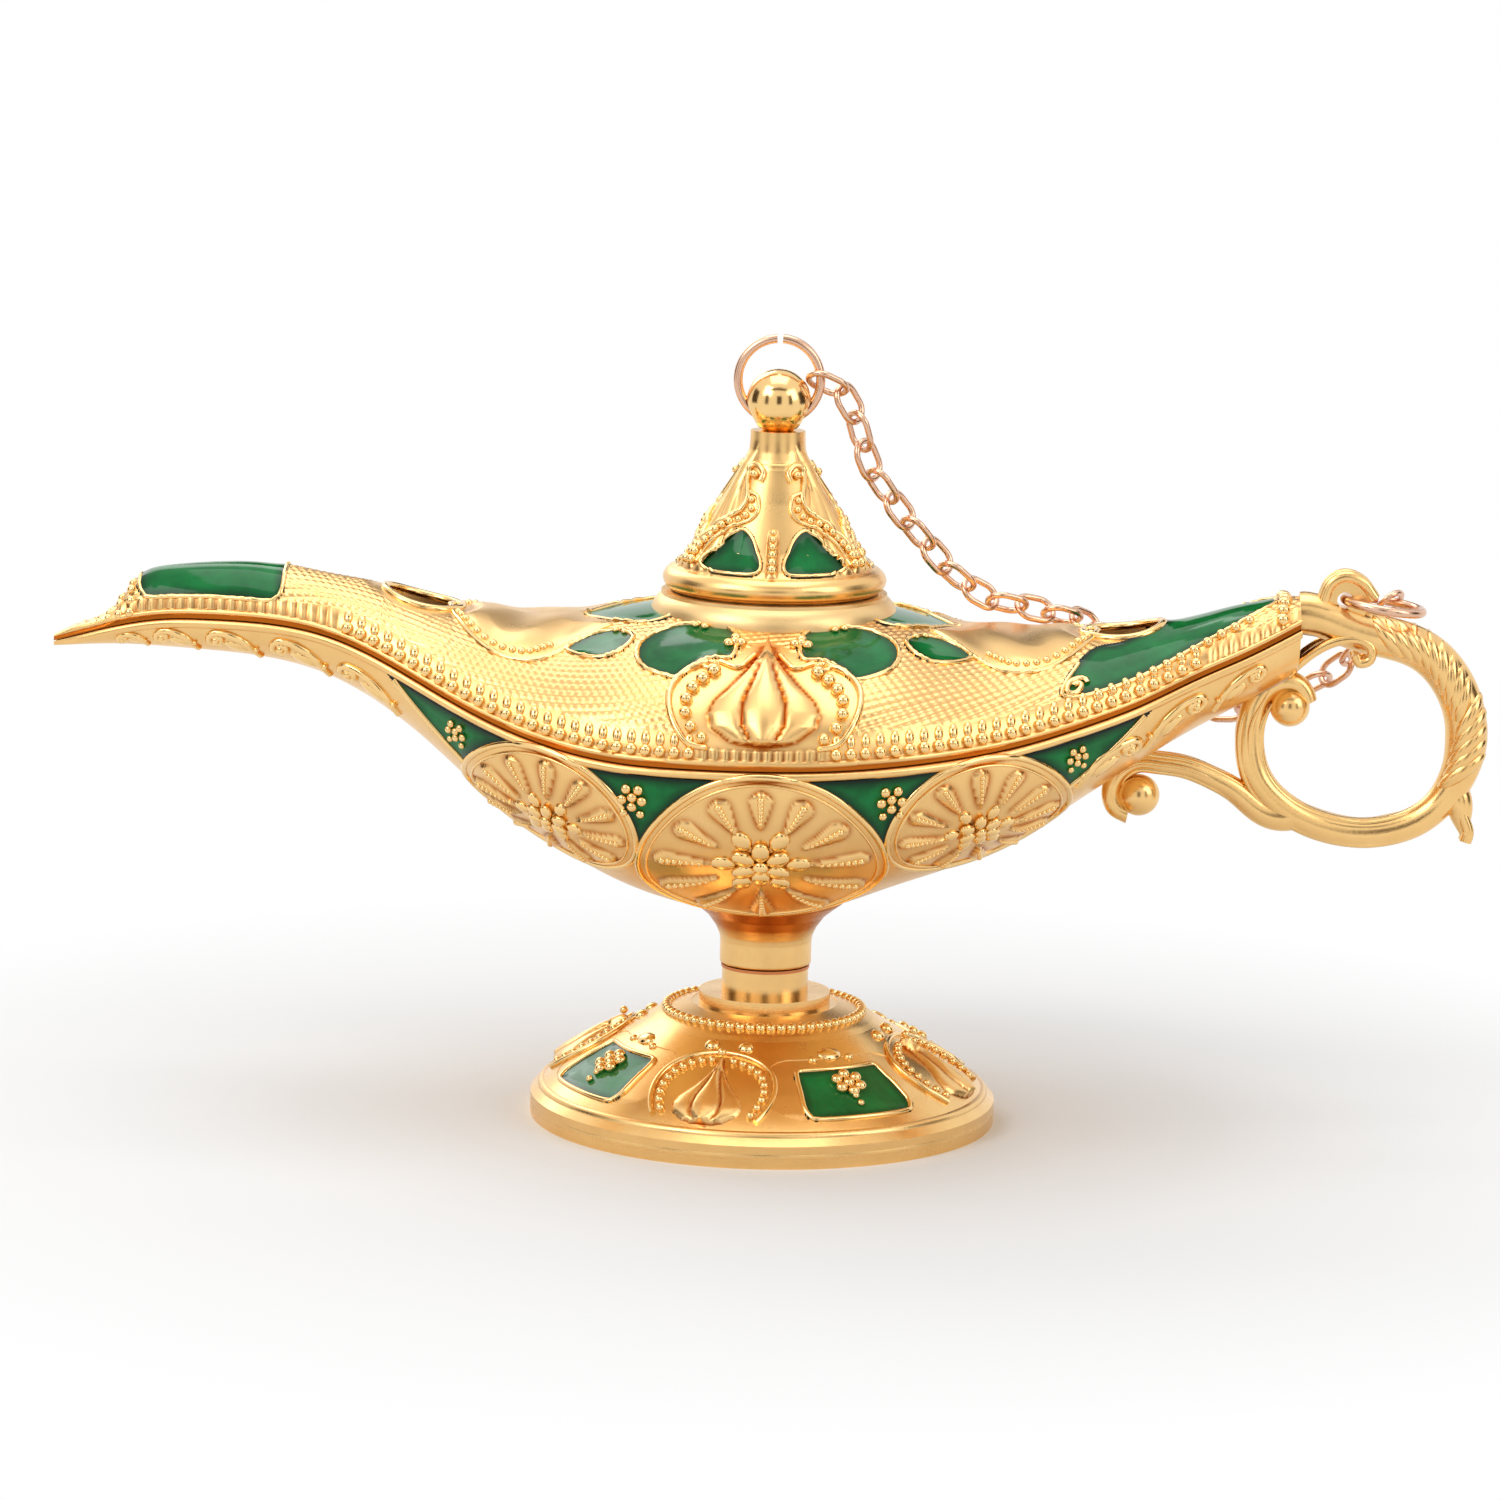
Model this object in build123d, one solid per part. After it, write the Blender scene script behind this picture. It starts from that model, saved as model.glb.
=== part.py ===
from build123d import *
import math
import os

os.makedirs("parts", exist_ok=True)

# A footed oil lamp in gilt metal and green enamel. Millimetres. X runs from the spout (minus)
# to the handle (plus), Y across the body and Z up from the table, on the axis of the foot.

# Body
spout_reach = 70.4
tail_reach = 51.0
body_half_width = 25.0
body_height = 53.5
body_wall = 1.4
seam_gap = 0.1
overrun = 6.0

# Throat, collar and lid
collar_radius = 12.0
collar_bore = 9.0
collar_bottom = 46.6
collar_top = 52.2
collar_waist = 11.0
throat_fit = 0.05
lid_gap = 0.15
lid_height = 15.6
lid_flange_radius = 10.65
lid_flange_height = 2.2
lid_neck_radius = 2.6
lid_wall = 1.2
skirt_fit = 0.1
skirt_depth = 3.2
spigot_radius = 1.2
spigot_length = 2.6
spigot_fit = 0.03

# Finial ball and its cross hole
ball_radius = 3.15
ball_sink = 0.35
cross_hole_radius = 1.36
cross_hole_drop = 1.15

# Wire rings and chain
ring_wire = 0.9
ring_split_angle = 8.0
finial_ring_radius = 4.0
handle_ring_radius = 3.8
handle_ring_droop = 8.0
link_wire = 0.62
link_length = 4.5
link_width = 3.4
link_pitch = 3.0
link_tilt = 38.0
link_hang = 0.75

# Round ports in the shell
spout_port_share = 0.4858
spout_port_radius = 3.55
tail_port_share = 0.6667
tail_port_radius = 3.7

# Foot and stem
foot_radius = 22.9
foot_rim_height = 2.2
foot_wall = 1.3
foot_rim_wall = 2.0
foot_ring_radius = 6.45
foot_ring_height = 12.5
foot_top = 14.9
stub_radius = 4.25
stem_seam = 0.3
hull_stub_radius = 4.5
hull_stub_height = 3.0
hull_flare_radius = 6.6
hull_flare_height = 6.6
boss_depth = 9.0

# Screw that draws the foot up to the hull
screw_radius = 1.5
screw_hole_fit = 0.1
screw_thread_fit = 0.02
screw_length = 12.0
screw_head_radius = 2.75
screw_head_height = 1.7
washer_radius = 3.5
washer_thickness = 0.5

# Handle
handle_length = 18.8
handle_reach = tail_reach + handle_length
handle_grip_radius = 2.05
handle_arc_radius = 1.5
handle_scroll_radius = 0.95
upper_ball_radius = 1.95
lower_ball_radius = 2.05
lug_radius = 2.35
lug_thickness = 2.2
lug_hole_radius = 0.78
leaf_length = 6.0

# Enamel
enamel_depth = 0.4
lid_field_count = 6
foot_field_count = 4
foot_turn = 31.0

# Lesser sizes of the same pieces
collar_bulge_share = 0.60
collar_bulge_span_share = 0.85
lid_flange_root_share = 0.95
lid_neck_share = 0.89
foot_floor = 9.6
foot_bead_height = 1.2
stem_seam_radius = 4.35
screw_slot_width = 0.7
screw_slot_depth = 0.8
leaf_radius = 1.3
leaf_lean = 10.0
handle_root_share = 0.963
spandrel_x = 12.5
spandrel_width = 11.0
spandrel_depth = 7.5
spandrel_corner = 0.8
spandrel_drop = 1.7
outer_spandrel_x = 30.5
outer_spandrel_width = 7.5
outer_spandrel_depth = 4.0
kidney_radius = 17.6
kidney_turn = 26.0
kidney_span = 20.0
kidney_width = 4.4
almond_turn = 56.0
almond_span = 14.0
almond_width = 3.0
saddle_width = 2.6
lid_field_radius = 7.7
lid_field_width = 2.4
lid_field_span = 26.0
foot_field_radius = 17.0
foot_field_width = 7.0
foot_field_span = 36.0

# Cross-sections of the body from its middle outwards, as shares of the reach, the half width,
# and, for keel, seam and ridge, the body's height.
spout_section_shares = [
    (1.000, 0.030, 0.838, 0.847, 0.858),
    (0.960, 0.070, 0.842, 0.864, 0.880),
    (0.920, 0.100, 0.845, 0.880, 0.905),
    (0.880, 0.120, 0.845, 0.893, 0.970),
    (0.840, 0.150, 0.843, 0.902, 0.992),
    (0.780, 0.180, 0.839, 0.906, 1.000),
    (0.700, 0.210, 0.829, 0.904, 1.000),
    (0.620, 0.250, 0.803, 0.890, 0.982),
    (0.540, 0.340, 0.750, 0.857, 0.964),
    (0.460, 0.480, 0.672, 0.813, 0.937),
    (0.380, 0.640, 0.582, 0.773, 0.918),
    (0.300, 0.790, 0.512, 0.745, 0.914),
    (0.200, 0.930, 0.443, 0.727, 0.938),
    (0.100, 0.985, 0.402, 0.723, 0.955),
    (0.000, 1.000, 0.387, 0.723, 0.960),
]
tail_section_shares = [
    (0.120, 0.985, 0.405, 0.726, 0.955),
    (0.240, 0.920, 0.447, 0.732, 0.945),
    (0.360, 0.790, 0.487, 0.740, 0.917),
    (0.480, 0.650, 0.541, 0.756, 0.911),
    (0.600, 0.520, 0.618, 0.785, 0.918),
    (0.700, 0.400, 0.683, 0.815, 0.930),
    (0.800, 0.310, 0.744, 0.857, 0.950),
    (0.900, 0.250, 0.798, 0.898, 0.977),
    (1.000, 0.180, 0.855, 0.945, 0.990),
]
hollow_spout_share = 0.85
hollow_tail_share = 0.91

# Middle and half length of the saddle fields, as shares of the reach.
spout_saddle_shares = (0.7600, 0.0852)
tail_saddle_shares = (0.8725, 0.1176)

# Handle centreline from the tail, round the finger loop, to its inner scroll, then the branch
# that curls under the body. Shares of the handle's length, from the tail's end, and of the
# body's height.
handle_shares = [
    (0.2909, 0.936),
    (0.6399, 0.901),
    (0.8404, 0.820),
    (0.8886, 0.748),
    (0.8441, 0.665),
    (0.6844, 0.594),
    (0.3688, 0.561),
    (0.0198, 0.591),
    (-0.1807, 0.656),
    (-0.2289, 0.748),
    (-0.1361, 0.826),
    (0.0013, 0.832),
    (0.0644, 0.798),
]
grip_end_share = 0.36
arc_start_share = 0.46
scroll_start_share = 0.80
branch_shares = [
    (0.0198, 0.591),
    (-0.1732, 0.600),
    (-0.2920, 0.632),
    (-0.4109, 0.654),
    (-0.5519, 0.673),
    (-0.6967, 0.680),
    (-0.8081, 0.681),
    (-0.8935, 0.660),
    (-0.9344, 0.630),
    (-0.9195, 0.600),
    (-0.8490, 0.583),
]
handle_sections = 28
branch_sections = 18
upper_ball_shares = (-0.0284, 0.790)
lower_ball_shares = (-0.7933, 0.619)
lug_shares = (0.2315, 0.991)
leaf_root_shares = (0.8459, 0.665)
leaf_swell_shares = [0.55, 0.90, 1.00, 0.85, 0.50, 0.15]

# Places where the chain lies between its two rings, as shares of the handle's reach, the
# body's half width and the body's height.
chain_shares = [
    (0.842, 0.220, 0.925),
    (0.814, 0.280, 0.866),
    (0.771, 0.340, 0.817),
    (0.719, 0.380, 0.779),
    (0.656, 0.420, 0.751),
    (0.609, 0.460, 0.753),
    (0.563, 0.520, 0.785),
    (0.520, 0.560, 0.828),
    (0.478, 0.540, 0.870),
    (0.437, 0.440, 0.903),
    (0.372, 0.340, 0.932),
    (0.292, 0.260, 0.962),
    (0.235, 0.200, 1.022),
    (0.176, 0.140, 1.114),
    (0.123, 0.080, 1.224),
    (0.095, 0.036, 1.325),
]
chain_start_angle = 75.0
chain_end_angle = 0.0

# Outlines of turned pieces, as shares of radius and height.
lid_cone_shares = [(0.873, 0.170), (0.751, 0.279), (0.629, 0.413), (0.488, 0.567)]
lid_throat_shares = [(0.347, 0.728), (0.282, 0.811)]
foot_bell_shares = [(0.945, 0.265), (0.780, 0.490), (0.590, 0.680), (0.465, 0.810), (0.310, 0.905)]


def body_stations():
    spout = [(-x * spout_reach, w, k, s, r) for x, w, k, s, r in spout_section_shares]
    tail = [(x * tail_reach, w, k, s, r) for x, w, k, s, r in tail_section_shares]
    return [
        (x, w * body_half_width, k * body_height, s * body_height, r * body_height)
        for x, w, k, s, r in spout + tail
    ]


def hollow_stations():
    # Cross-sections of the hollow, each half-way between two of the outside.
    rows = body_stations()
    halfway = [[(a + b) / 2 for a, b in zip(low, high)] for low, high in zip(rows, rows[1:])]
    first = -hollow_spout_share * spout_reach
    last = hollow_tail_share * tail_reach
    return [station for station in halfway if first <= station[0] <= last]


def seam_height(x):
    # Height of the seam at a place along the body, between its cross-sections.
    rows = body_stations()
    low, high = next((a, b) for a, b in zip(rows, rows[1:]) if a[0] <= x <= b[0])
    return low[3] + (high[3] - low[3]) * (x - low[0]) / (high[0] - low[0])


def half_oval(x, seam, half_width, rise, step):
    # Half an oval across the body, under the seam where rise is negative and over it where
    # rise is positive. Its flat side stands step away on the other side of the seam.
    plane = Plane(origin=(x, 0, 0), x_dir=(0, 1, 0), z_dir=(1, 0, 0))
    turn = 180 if rise < 0 else 0
    arc = EllipticalCenterArc((0, seam), half_width, abs(rise), turn, arc_size=180)
    off = Vector(0, step)
    side = Line(arc @ 1, arc @ 0)
    if step:
        side = Polyline(arc @ 1, (arc @ 1) + off, (arc @ 0) + off, arc @ 0)
    return plane * make_face([arc, *side.edges()])


def hull_form(stations, wall=0, step=0):
    return loft([half_oval(x, seam, half - wall, keel - seam + wall, step)
                 for x, half, keel, seam, ridge in stations])


def shell_form(stations, wall=0, step=0):
    return loft([half_oval(x, seam + seam_gap, half - wall, ridge - seam - seam_gap - wall, -step)
                 for x, half, keel, seam, ridge in stations])


def turned(edges):
    # A closed outline of (radius, height) turned about the lamp's axis.
    return revolve(Plane.XZ * make_face(edges), Axis.Z)


def post(radius, bottom, top, x=0):
    column = Cylinder(radius, top - bottom, align=(Align.CENTER, Align.CENTER, Align.MIN))
    return Pos(x, 0, bottom) * column


def kidney(radius, width, middle, span):
    return SlotArc(CenterArc((0, 0), radius, middle - span / 2, span), width)


def upright(face, height):
    return extrude(face, height)


def skin(form, cutter, shift):
    # The outer layer of a form inside a cutter, as deep as the form is shifted.
    return (form & cutter) - form.moved(Location(shift))


def hull_base():
    return foot_top + stem_seam


def ball_centre():
    return lid_base() + lid_height + ball_radius - ball_sink


def lid_base():
    return collar_top + lid_gap


def cross_hole_height():
    return ball_centre() - cross_hole_drop


def make_hull_stub():
    # Short stem under the bowl, flaring into the bowl's round bottom, with a boss for the screw.
    low = hull_base()
    neck = low + hull_stub_height
    top = low + hull_flare_height
    flare = TangentArc((hull_stub_radius, neck), (hull_flare_radius, top), tangent=(0, 1))
    side = Polyline((hull_flare_radius, top), (0, top), (0, low), (hull_stub_radius, low),
                    (hull_stub_radius, neck))
    return turned([flare, *side.edges()])


def make_lower_hull(form, fields):
    cavity = hull_form(hollow_stations(), body_wall, overrun)
    boss = post(hull_stub_radius, hull_base(), hull_base() + boss_depth)
    hole = post(screw_radius + screw_thread_fit, 0, screw_top() + body_wall)
    hull = form + make_hull_stub() - cavity + boss - hole
    for field in fields:
        hull -= field
    return hull


def make_upper_shell(form, fields):
    cavity = shell_form(hollow_stations(), body_wall, overrun)
    throat = post(collar_radius + throat_fit, 0, body_height + overrun)
    spout_port = post(spout_port_radius, 0, body_height + overrun, -spout_port_share * spout_reach)
    tail_port = post(tail_port_radius, 0, body_height + overrun, tail_port_share * tail_reach)
    shell = form - cavity - throat - spout_port - tail_port
    for field in fields:
        shell -= field
    return shell


def make_collar():
    # Bulged ring let into the throat. The lid's flange rests on its top.
    middle = collar_bottom + (collar_top - collar_bottom) * collar_bulge_share
    half = (collar_top - middle) * collar_bulge_span_share
    bulge = ThreePointArc((collar_waist, middle - half), (collar_radius, middle),
                          (collar_waist, middle + half))
    side = Polyline((collar_waist, middle + half), (collar_waist, collar_top),
                    (collar_bore, collar_top), (collar_bore, collar_bottom),
                    (collar_waist, collar_bottom), (collar_waist, middle - half))
    return turned([bulge, *side.edges()])


def lid_points(wall=0):
    return [(r * lid_flange_radius - wall, z * lid_height) for r, z in lid_cone_shares]


def make_lid_form():
    # The cone without its hollow: round-edged flange, hollow-sided cone and straight neck.
    root = lid_flange_radius * lid_flange_root_share
    edge = ThreePointArc((root, 0), (lid_flange_radius, lid_flange_height / 2),
                         (root, lid_flange_height))
    neck = [(r * lid_flange_radius, z * lid_height) for r, z in lid_throat_shares]
    cone = Spline((root, lid_flange_height), *lid_points(), *neck, (lid_neck_radius, neck_height()),
                  tangents=[(-1, 0), (0, 1)])
    side = Polyline((lid_neck_radius, neck_height()), (lid_neck_radius, lid_height), (0, lid_height),
                    (0, 0), (root, 0))
    return Pos(0, 0, lid_base()) * turned([edge, cone, *side.edges()])


def neck_height():
    return lid_height * lid_neck_share


def make_lid(form, fields):
    skirt_radius = collar_bore - skirt_fit
    inner = skirt_radius - lid_wall
    hollow = [(0, -skirt_depth), (inner, -skirt_depth), (inner, lid_flange_height / 2),
              *lid_points(lid_wall)[1:], (0, lid_points()[-1][1])]
    skirt = post(skirt_radius, lid_base() - skirt_depth, lid_base() + lid_flange_height / 2)
    socket = post(spigot_radius + spigot_fit, ball_seat() - spigot_length - lid_wall, ball_seat())
    hollow = Pos(0, 0, lid_base()) * turned(Polyline(*hollow, hollow[0]).edges())
    lid = form + skirt - hollow - socket
    for field in fields:
        lid -= field
    return lid


def ball_seat():
    return lid_base() + lid_height


def make_finial():
    ball = Pos(0, 0, ball_centre()) * Sphere(ball_radius)
    ball -= post(ball_radius, ball_seat() - ball_radius, ball_seat())
    hole = Pos(0, 0, cross_hole_height()) * Rot(0, 90, 0) * Cylinder(cross_hole_radius, 4 * ball_radius)
    return ball + post(spigot_radius, ball_seat() - spigot_length, ball_seat() + ball_sink) - hole


def wire_ring(radius):
    # An open ring of round wire in the XY plane, with its split on the side of plus Y.
    ring = Torus(radius, ring_wire / 2, major_angle=360 - ring_split_angle, align=None)
    return Rot(0, 0, 90 + ring_split_angle / 2) * ring


def finial_ring_plane():
    # Upright ring whose lowest stretch curves through the cross hole.
    bow = finial_ring_radius - math.sqrt(finial_ring_radius ** 2 - ball_radius ** 2)
    height = cross_hole_height() - bow / 2 + finial_ring_radius
    return Plane(origin=(0, 0, height), x_dir=(1, 0, 0), z_dir=(0, -1, 0))


def lug_centre():
    return handle_place(lug_shares)


def handle_ring_plane():
    # Ring that lies back from the lug and droops towards the handle's end.
    droop = math.radians(handle_ring_droop)
    along = Vector(math.cos(droop), 0, -math.sin(droop))
    return Plane(origin=lug_centre() + along * handle_ring_radius, x_dir=along,
                 z_dir=(math.sin(droop), 0, math.cos(droop)))


def ring_point(plane, radius, angle):
    turn = math.radians(angle)
    return plane.from_local_coords(Vector(radius * math.cos(turn), radius * math.sin(turn), 0))


def chain_route():
    start = ring_point(handle_ring_plane(), handle_ring_radius, chain_start_angle)
    end = ring_point(finial_ring_plane(), finial_ring_radius, chain_end_angle)
    places = [(x * handle_reach, y * body_half_width, z * body_height) for x, y, z in chain_shares]
    return Spline(start, *places, end)


def make_link():
    # Oval of round wire with straight flanks, long along X, in the XY plane.
    bend = (link_width - link_wire) / 2
    straight = link_length - link_width
    path = SlotOverall(straight + 2 * bend, 2 * bend).wire()
    section = Plane(origin=path @ 0, z_dir=path % 0) * Circle(link_wire / 2)
    return sweep(section, path)


def chain_places(route):
    # One plane for each link: X along the chain, Z across the link, tilted by turns.
    free = route.length - 2 * link_hang
    count = round(free / link_pitch) + 1
    planes = []
    for number in range(count):
        share = (link_hang + free * number / (count - 1)) / route.length
        along = route % share
        flat = Plane(origin=route @ share, x_dir=along, z_dir=along.cross(Vector(0, 1, 0)))
        tilt = link_tilt if number % 2 == 0 else -link_tilt
        planes.append(flat * Rot(tilt, 0, 0))
    return planes


def tube(path, radii):
    # Round bar of changing radius along a path in the XZ plane.
    last = len(radii) - 1
    rings = [Plane(origin=path @ (i / last), x_dir=(0, 1, 0), z_dir=path % (i / last)) * Circle(radius)
             for i, radius in enumerate(radii)]
    return loft(rings)


def handle_place(shares):
    return Vector(tail_reach + shares[0] * handle_length, 0, shares[1] * body_height)


def loop_radius(share):
    if share <= grip_end_share:
        return handle_grip_radius
    if share <= arc_start_share:
        mix = (share - grip_end_share) / (arc_start_share - grip_end_share)
        return handle_grip_radius + (handle_arc_radius - handle_grip_radius) * mix
    if share <= scroll_start_share:
        return handle_arc_radius
    mix = (share - scroll_start_share) / (1 - scroll_start_share)
    return handle_arc_radius + (handle_scroll_radius - handle_arc_radius) * mix


def make_lug():
    disc = Pos(lug_centre()) * Rot(90, 0, 0) * Cylinder(lug_radius, lug_thickness)
    hole = Pos(lug_centre()) * Rot(90, 0, 0) * Cylinder(lug_hole_radius, 2 * lug_thickness)
    return disc, hole


def make_leaf():
    # Small pointed leaf at the lower end of the grip.
    root = handle_place(leaf_root_shares)
    lean = math.radians(leaf_lean)
    tip = root + Vector(math.sin(lean), 0, -math.cos(lean)) * leaf_length
    return tube(Line(root, tip), [leaf_radius * share for share in leaf_swell_shares])


def make_handle(hull, shell):
    root = Vector(tail_reach, 0, handle_root_share * body_height)
    places = [handle_place(shares) for shares in handle_shares]
    loop_path = Spline(root, *places, tangents=[(1, 0, 0), (1, 0, -2)])
    loop = tube(loop_path, [loop_radius(i / handle_sections) for i in range(handle_sections + 1)])
    branch_path = Spline(*[handle_place(s) for s in branch_shares])
    swell = handle_arc_radius - handle_scroll_radius
    taper = [handle_scroll_radius + swell * (1 - i / branch_sections) ** 2
             for i in range(branch_sections + 1)]
    branch = tube(branch_path, taper)
    balls = [Pos(handle_place(upper_ball_shares)) * Sphere(upper_ball_radius),
             Pos(handle_place(lower_ball_shares)) * Sphere(lower_ball_radius)]
    disc, hole = make_lug()
    handle = loop + branch + balls[0] + balls[1] + disc + make_leaf()
    return handle - hole - hull - shell


def foot_points(wall=0):
    return [(r * foot_radius - wall, z * foot_ring_height - wall / 2) for r, z in foot_bell_shares]


def make_foot_form():
    # The cast bell with its rim, bead and stub, still solid.
    bell = Spline((foot_radius, foot_rim_height), *foot_points())
    ring = Polyline(foot_points()[-1], (foot_ring_radius, foot_ring_height - foot_bead_height),
                    (foot_ring_radius, foot_ring_height), (stub_radius, foot_ring_height),
                    (stub_radius, foot_top), (0, foot_top), (0, 0), (foot_radius, 0),
                    (foot_radius, foot_rim_height))
    return turned([bell, *ring.edges()])


def make_foot(form, fields):
    inner = foot_radius - foot_rim_wall
    corners = [(0, 0), (inner, 0), (inner, foot_rim_height / 2), *foot_points(foot_wall)[1:-1],
               (foot_ring_radius, foot_floor), (0, foot_floor)]
    foot = form - turned(Polyline(*corners, corners[0]).edges())
    foot -= post(screw_radius + screw_hole_fit, 0, foot_top)
    for field in fields:
        foot -= field
    return foot


def screw_top():
    return foot_floor - washer_thickness + screw_length


def make_screw():
    # Round-headed screw. Its slot is cut across the head.
    seat = foot_floor - washer_thickness
    head = post(screw_head_radius, seat - screw_head_height, seat)
    slot = Pos(0, 0, seat - screw_head_height) * Box(2 * screw_head_radius, screw_slot_width,
                                                     2 * screw_slot_depth)
    return head + post(screw_radius, seat, screw_top()) - slot


def make_washer():
    seat = foot_floor - washer_thickness
    return post(washer_radius, seat, foot_floor) - post(screw_radius + screw_hole_fit, seat, foot_floor)


def make_stem_seam():
    ring = post(stem_seam_radius, foot_top, hull_base())
    return ring - post(screw_radius + screw_hole_fit, foot_top, hull_base())


def spandrel(x, width, depth, side):
    # Three-cornered field under the seam, cut through the front or the back of the bowl.
    top = seam_height(x) - spandrel_drop
    left, right = (x - width / 2, top), (x + width / 2, top)
    face = make_face(Polyline(left, right, (x, top - depth), left).edges())
    face = fillet(face.vertices(), spandrel_corner)
    return extrude(Plane.XZ * face, -side * (body_half_width + overrun))


def hull_fields(form):
    fields = []
    for side in (-1, 1):
        for end in (-1, 1):
            shift = (0, -side * enamel_depth, 0)
            inner = spandrel(end * spandrel_x, spandrel_width, spandrel_depth, side)
            outer = spandrel(end * outer_spandrel_x, outer_spandrel_width, outer_spandrel_depth, side)
            fields += [skin(form, inner, shift), skin(form, outer, shift)]
    return fields


def shell_fields(form):
    # Four kidneys near the middle and four almonds towards the ends, round the collar.
    height = body_height + overrun
    fields = []
    for middle in (90, -90):
        for turn, span, width in ((kidney_turn, kidney_span, kidney_width),
                                  (almond_turn, almond_span, almond_width)):
            for end in (-1, 1):
                face = kidney(kidney_radius, width, middle + end * turn, span)
                fields.append(skin(form, upright(face, height), (0, 0, -enamel_depth)))
    return fields


def saddle_field(form, shares, reach):
    face = Pos(shares[0] * reach, 0) * Ellipse(shares[1] * abs(reach), saddle_width)
    return skin(form, upright(face, body_height + overrun), (0, 0, -enamel_depth))


def ring_of_fields(form, radius, width, span, count, turn, height):
    fields = []
    for number in range(count):
        face = kidney(radius, width, turn + number * 360 / count, span)
        fields.append(skin(form, upright(face, height), (0, 0, -enamel_depth)))
    return fields


def write(node, *shapes):
    # One file for each piece, with its separate solids side by side.
    solids = [solid for shape in shapes for solid in shape.solids()]
    export_step(solids[0] if len(solids) == 1 else Compound(children=solids), f"parts/{node}.step")


hull_blank = hull_form(body_stations())
shell_blank = shell_form(body_stations())
bowl_enamel = hull_fields(hull_blank)
crown_enamel = shell_fields(shell_blank)
spout_enamel = saddle_field(shell_blank, spout_saddle_shares, -spout_reach)
tail_enamel = saddle_field(shell_blank, tail_saddle_shares, tail_reach)
write("lower_hull", make_lower_hull(hull_blank, bowl_enamel))
write("upper_shell", make_upper_shell(shell_blank, [*crown_enamel, spout_enamel, tail_enamel]))
write("bowl_enamel", *bowl_enamel)
write("crown_enamel", *crown_enamel)
write("spout_enamel", spout_enamel)
write("tail_enamel", tail_enamel)
write("collar", make_collar())

lid_form = make_lid_form()
lid_enamel = ring_of_fields(lid_form, lid_field_radius, lid_field_width, lid_field_span,
                            lid_field_count, 90, ball_centre())
write("lid", make_lid(lid_form, lid_enamel))
write("lid_enamel", *lid_enamel)
write("finial", make_finial())

foot_form = make_foot_form()
foot_enamel = ring_of_fields(foot_form, foot_field_radius, foot_field_width, foot_field_span,
                             foot_field_count, foot_turn, foot_top)
write("foot", make_foot(foot_form, foot_enamel))
write("foot_enamel", *foot_enamel)
write("stem_seam", make_stem_seam())
write("foot_screw", make_screw())
write("foot_washer", make_washer())
write("handle", make_handle(hull_blank, shell_blank))

write("finial_ring", finial_ring_plane() * wire_ring(finial_ring_radius))
write("handle_ring", handle_ring_plane() * wire_ring(handle_ring_radius))
link = make_link()
route = chain_route()
for number, place in enumerate(chain_places(route), start=1):
    write(f"chain_link_{number:02d}", place * link)
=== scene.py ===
import math

import bmesh
import bpy
import numpy as np
from mathutils import Matrix, Vector


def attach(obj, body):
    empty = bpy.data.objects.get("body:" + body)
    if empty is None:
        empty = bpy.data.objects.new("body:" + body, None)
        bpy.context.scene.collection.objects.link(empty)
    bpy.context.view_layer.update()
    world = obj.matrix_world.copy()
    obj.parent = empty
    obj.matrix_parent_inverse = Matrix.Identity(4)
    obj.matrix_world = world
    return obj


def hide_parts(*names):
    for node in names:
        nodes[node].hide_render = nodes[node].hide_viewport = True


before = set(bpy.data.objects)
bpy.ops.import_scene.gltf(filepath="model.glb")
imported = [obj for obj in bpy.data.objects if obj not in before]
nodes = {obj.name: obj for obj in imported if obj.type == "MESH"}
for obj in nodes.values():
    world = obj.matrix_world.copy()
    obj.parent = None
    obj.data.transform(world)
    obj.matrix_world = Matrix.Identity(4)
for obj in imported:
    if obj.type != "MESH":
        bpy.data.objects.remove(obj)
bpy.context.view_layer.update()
mm = 0.001
print("frame loaded:", len(nodes), "nodes")


# shader writing: a socket that takes part in sums
class Wire:
    def __init__(self, tree, socket):
        self.tree, self.socket = tree, socket

    def maths(self, operation, a, b=None, c=None):
        node = self.tree.nodes.new("ShaderNodeMath")
        node.operation = operation
        for i, value in enumerate(v for v in (a, b, c) if v is not None):
            if isinstance(value, Wire):
                self.tree.links.new(value.socket, node.inputs[i])
            else:
                node.inputs[i].default_value = value
        return Wire(self.tree, node.outputs[0])

    def __add__(self, other): return self.maths("ADD", self, other)
    def __radd__(self, other): return self.maths("ADD", other, self)
    def __sub__(self, other): return self.maths("SUBTRACT", self, other)
    def __mul__(self, other): return self.maths("MULTIPLY", self, other)
    def __rmul__(self, other): return self.maths("MULTIPLY", other, self)
    def __truediv__(self, other): return self.maths("DIVIDE", self, other)
    def __pow__(self, other): return self.maths("POWER", self, other)
    def clamp(self): return self.maths("MINIMUM", self.maths("MAXIMUM", self, 0.0), 1.0)


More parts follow.
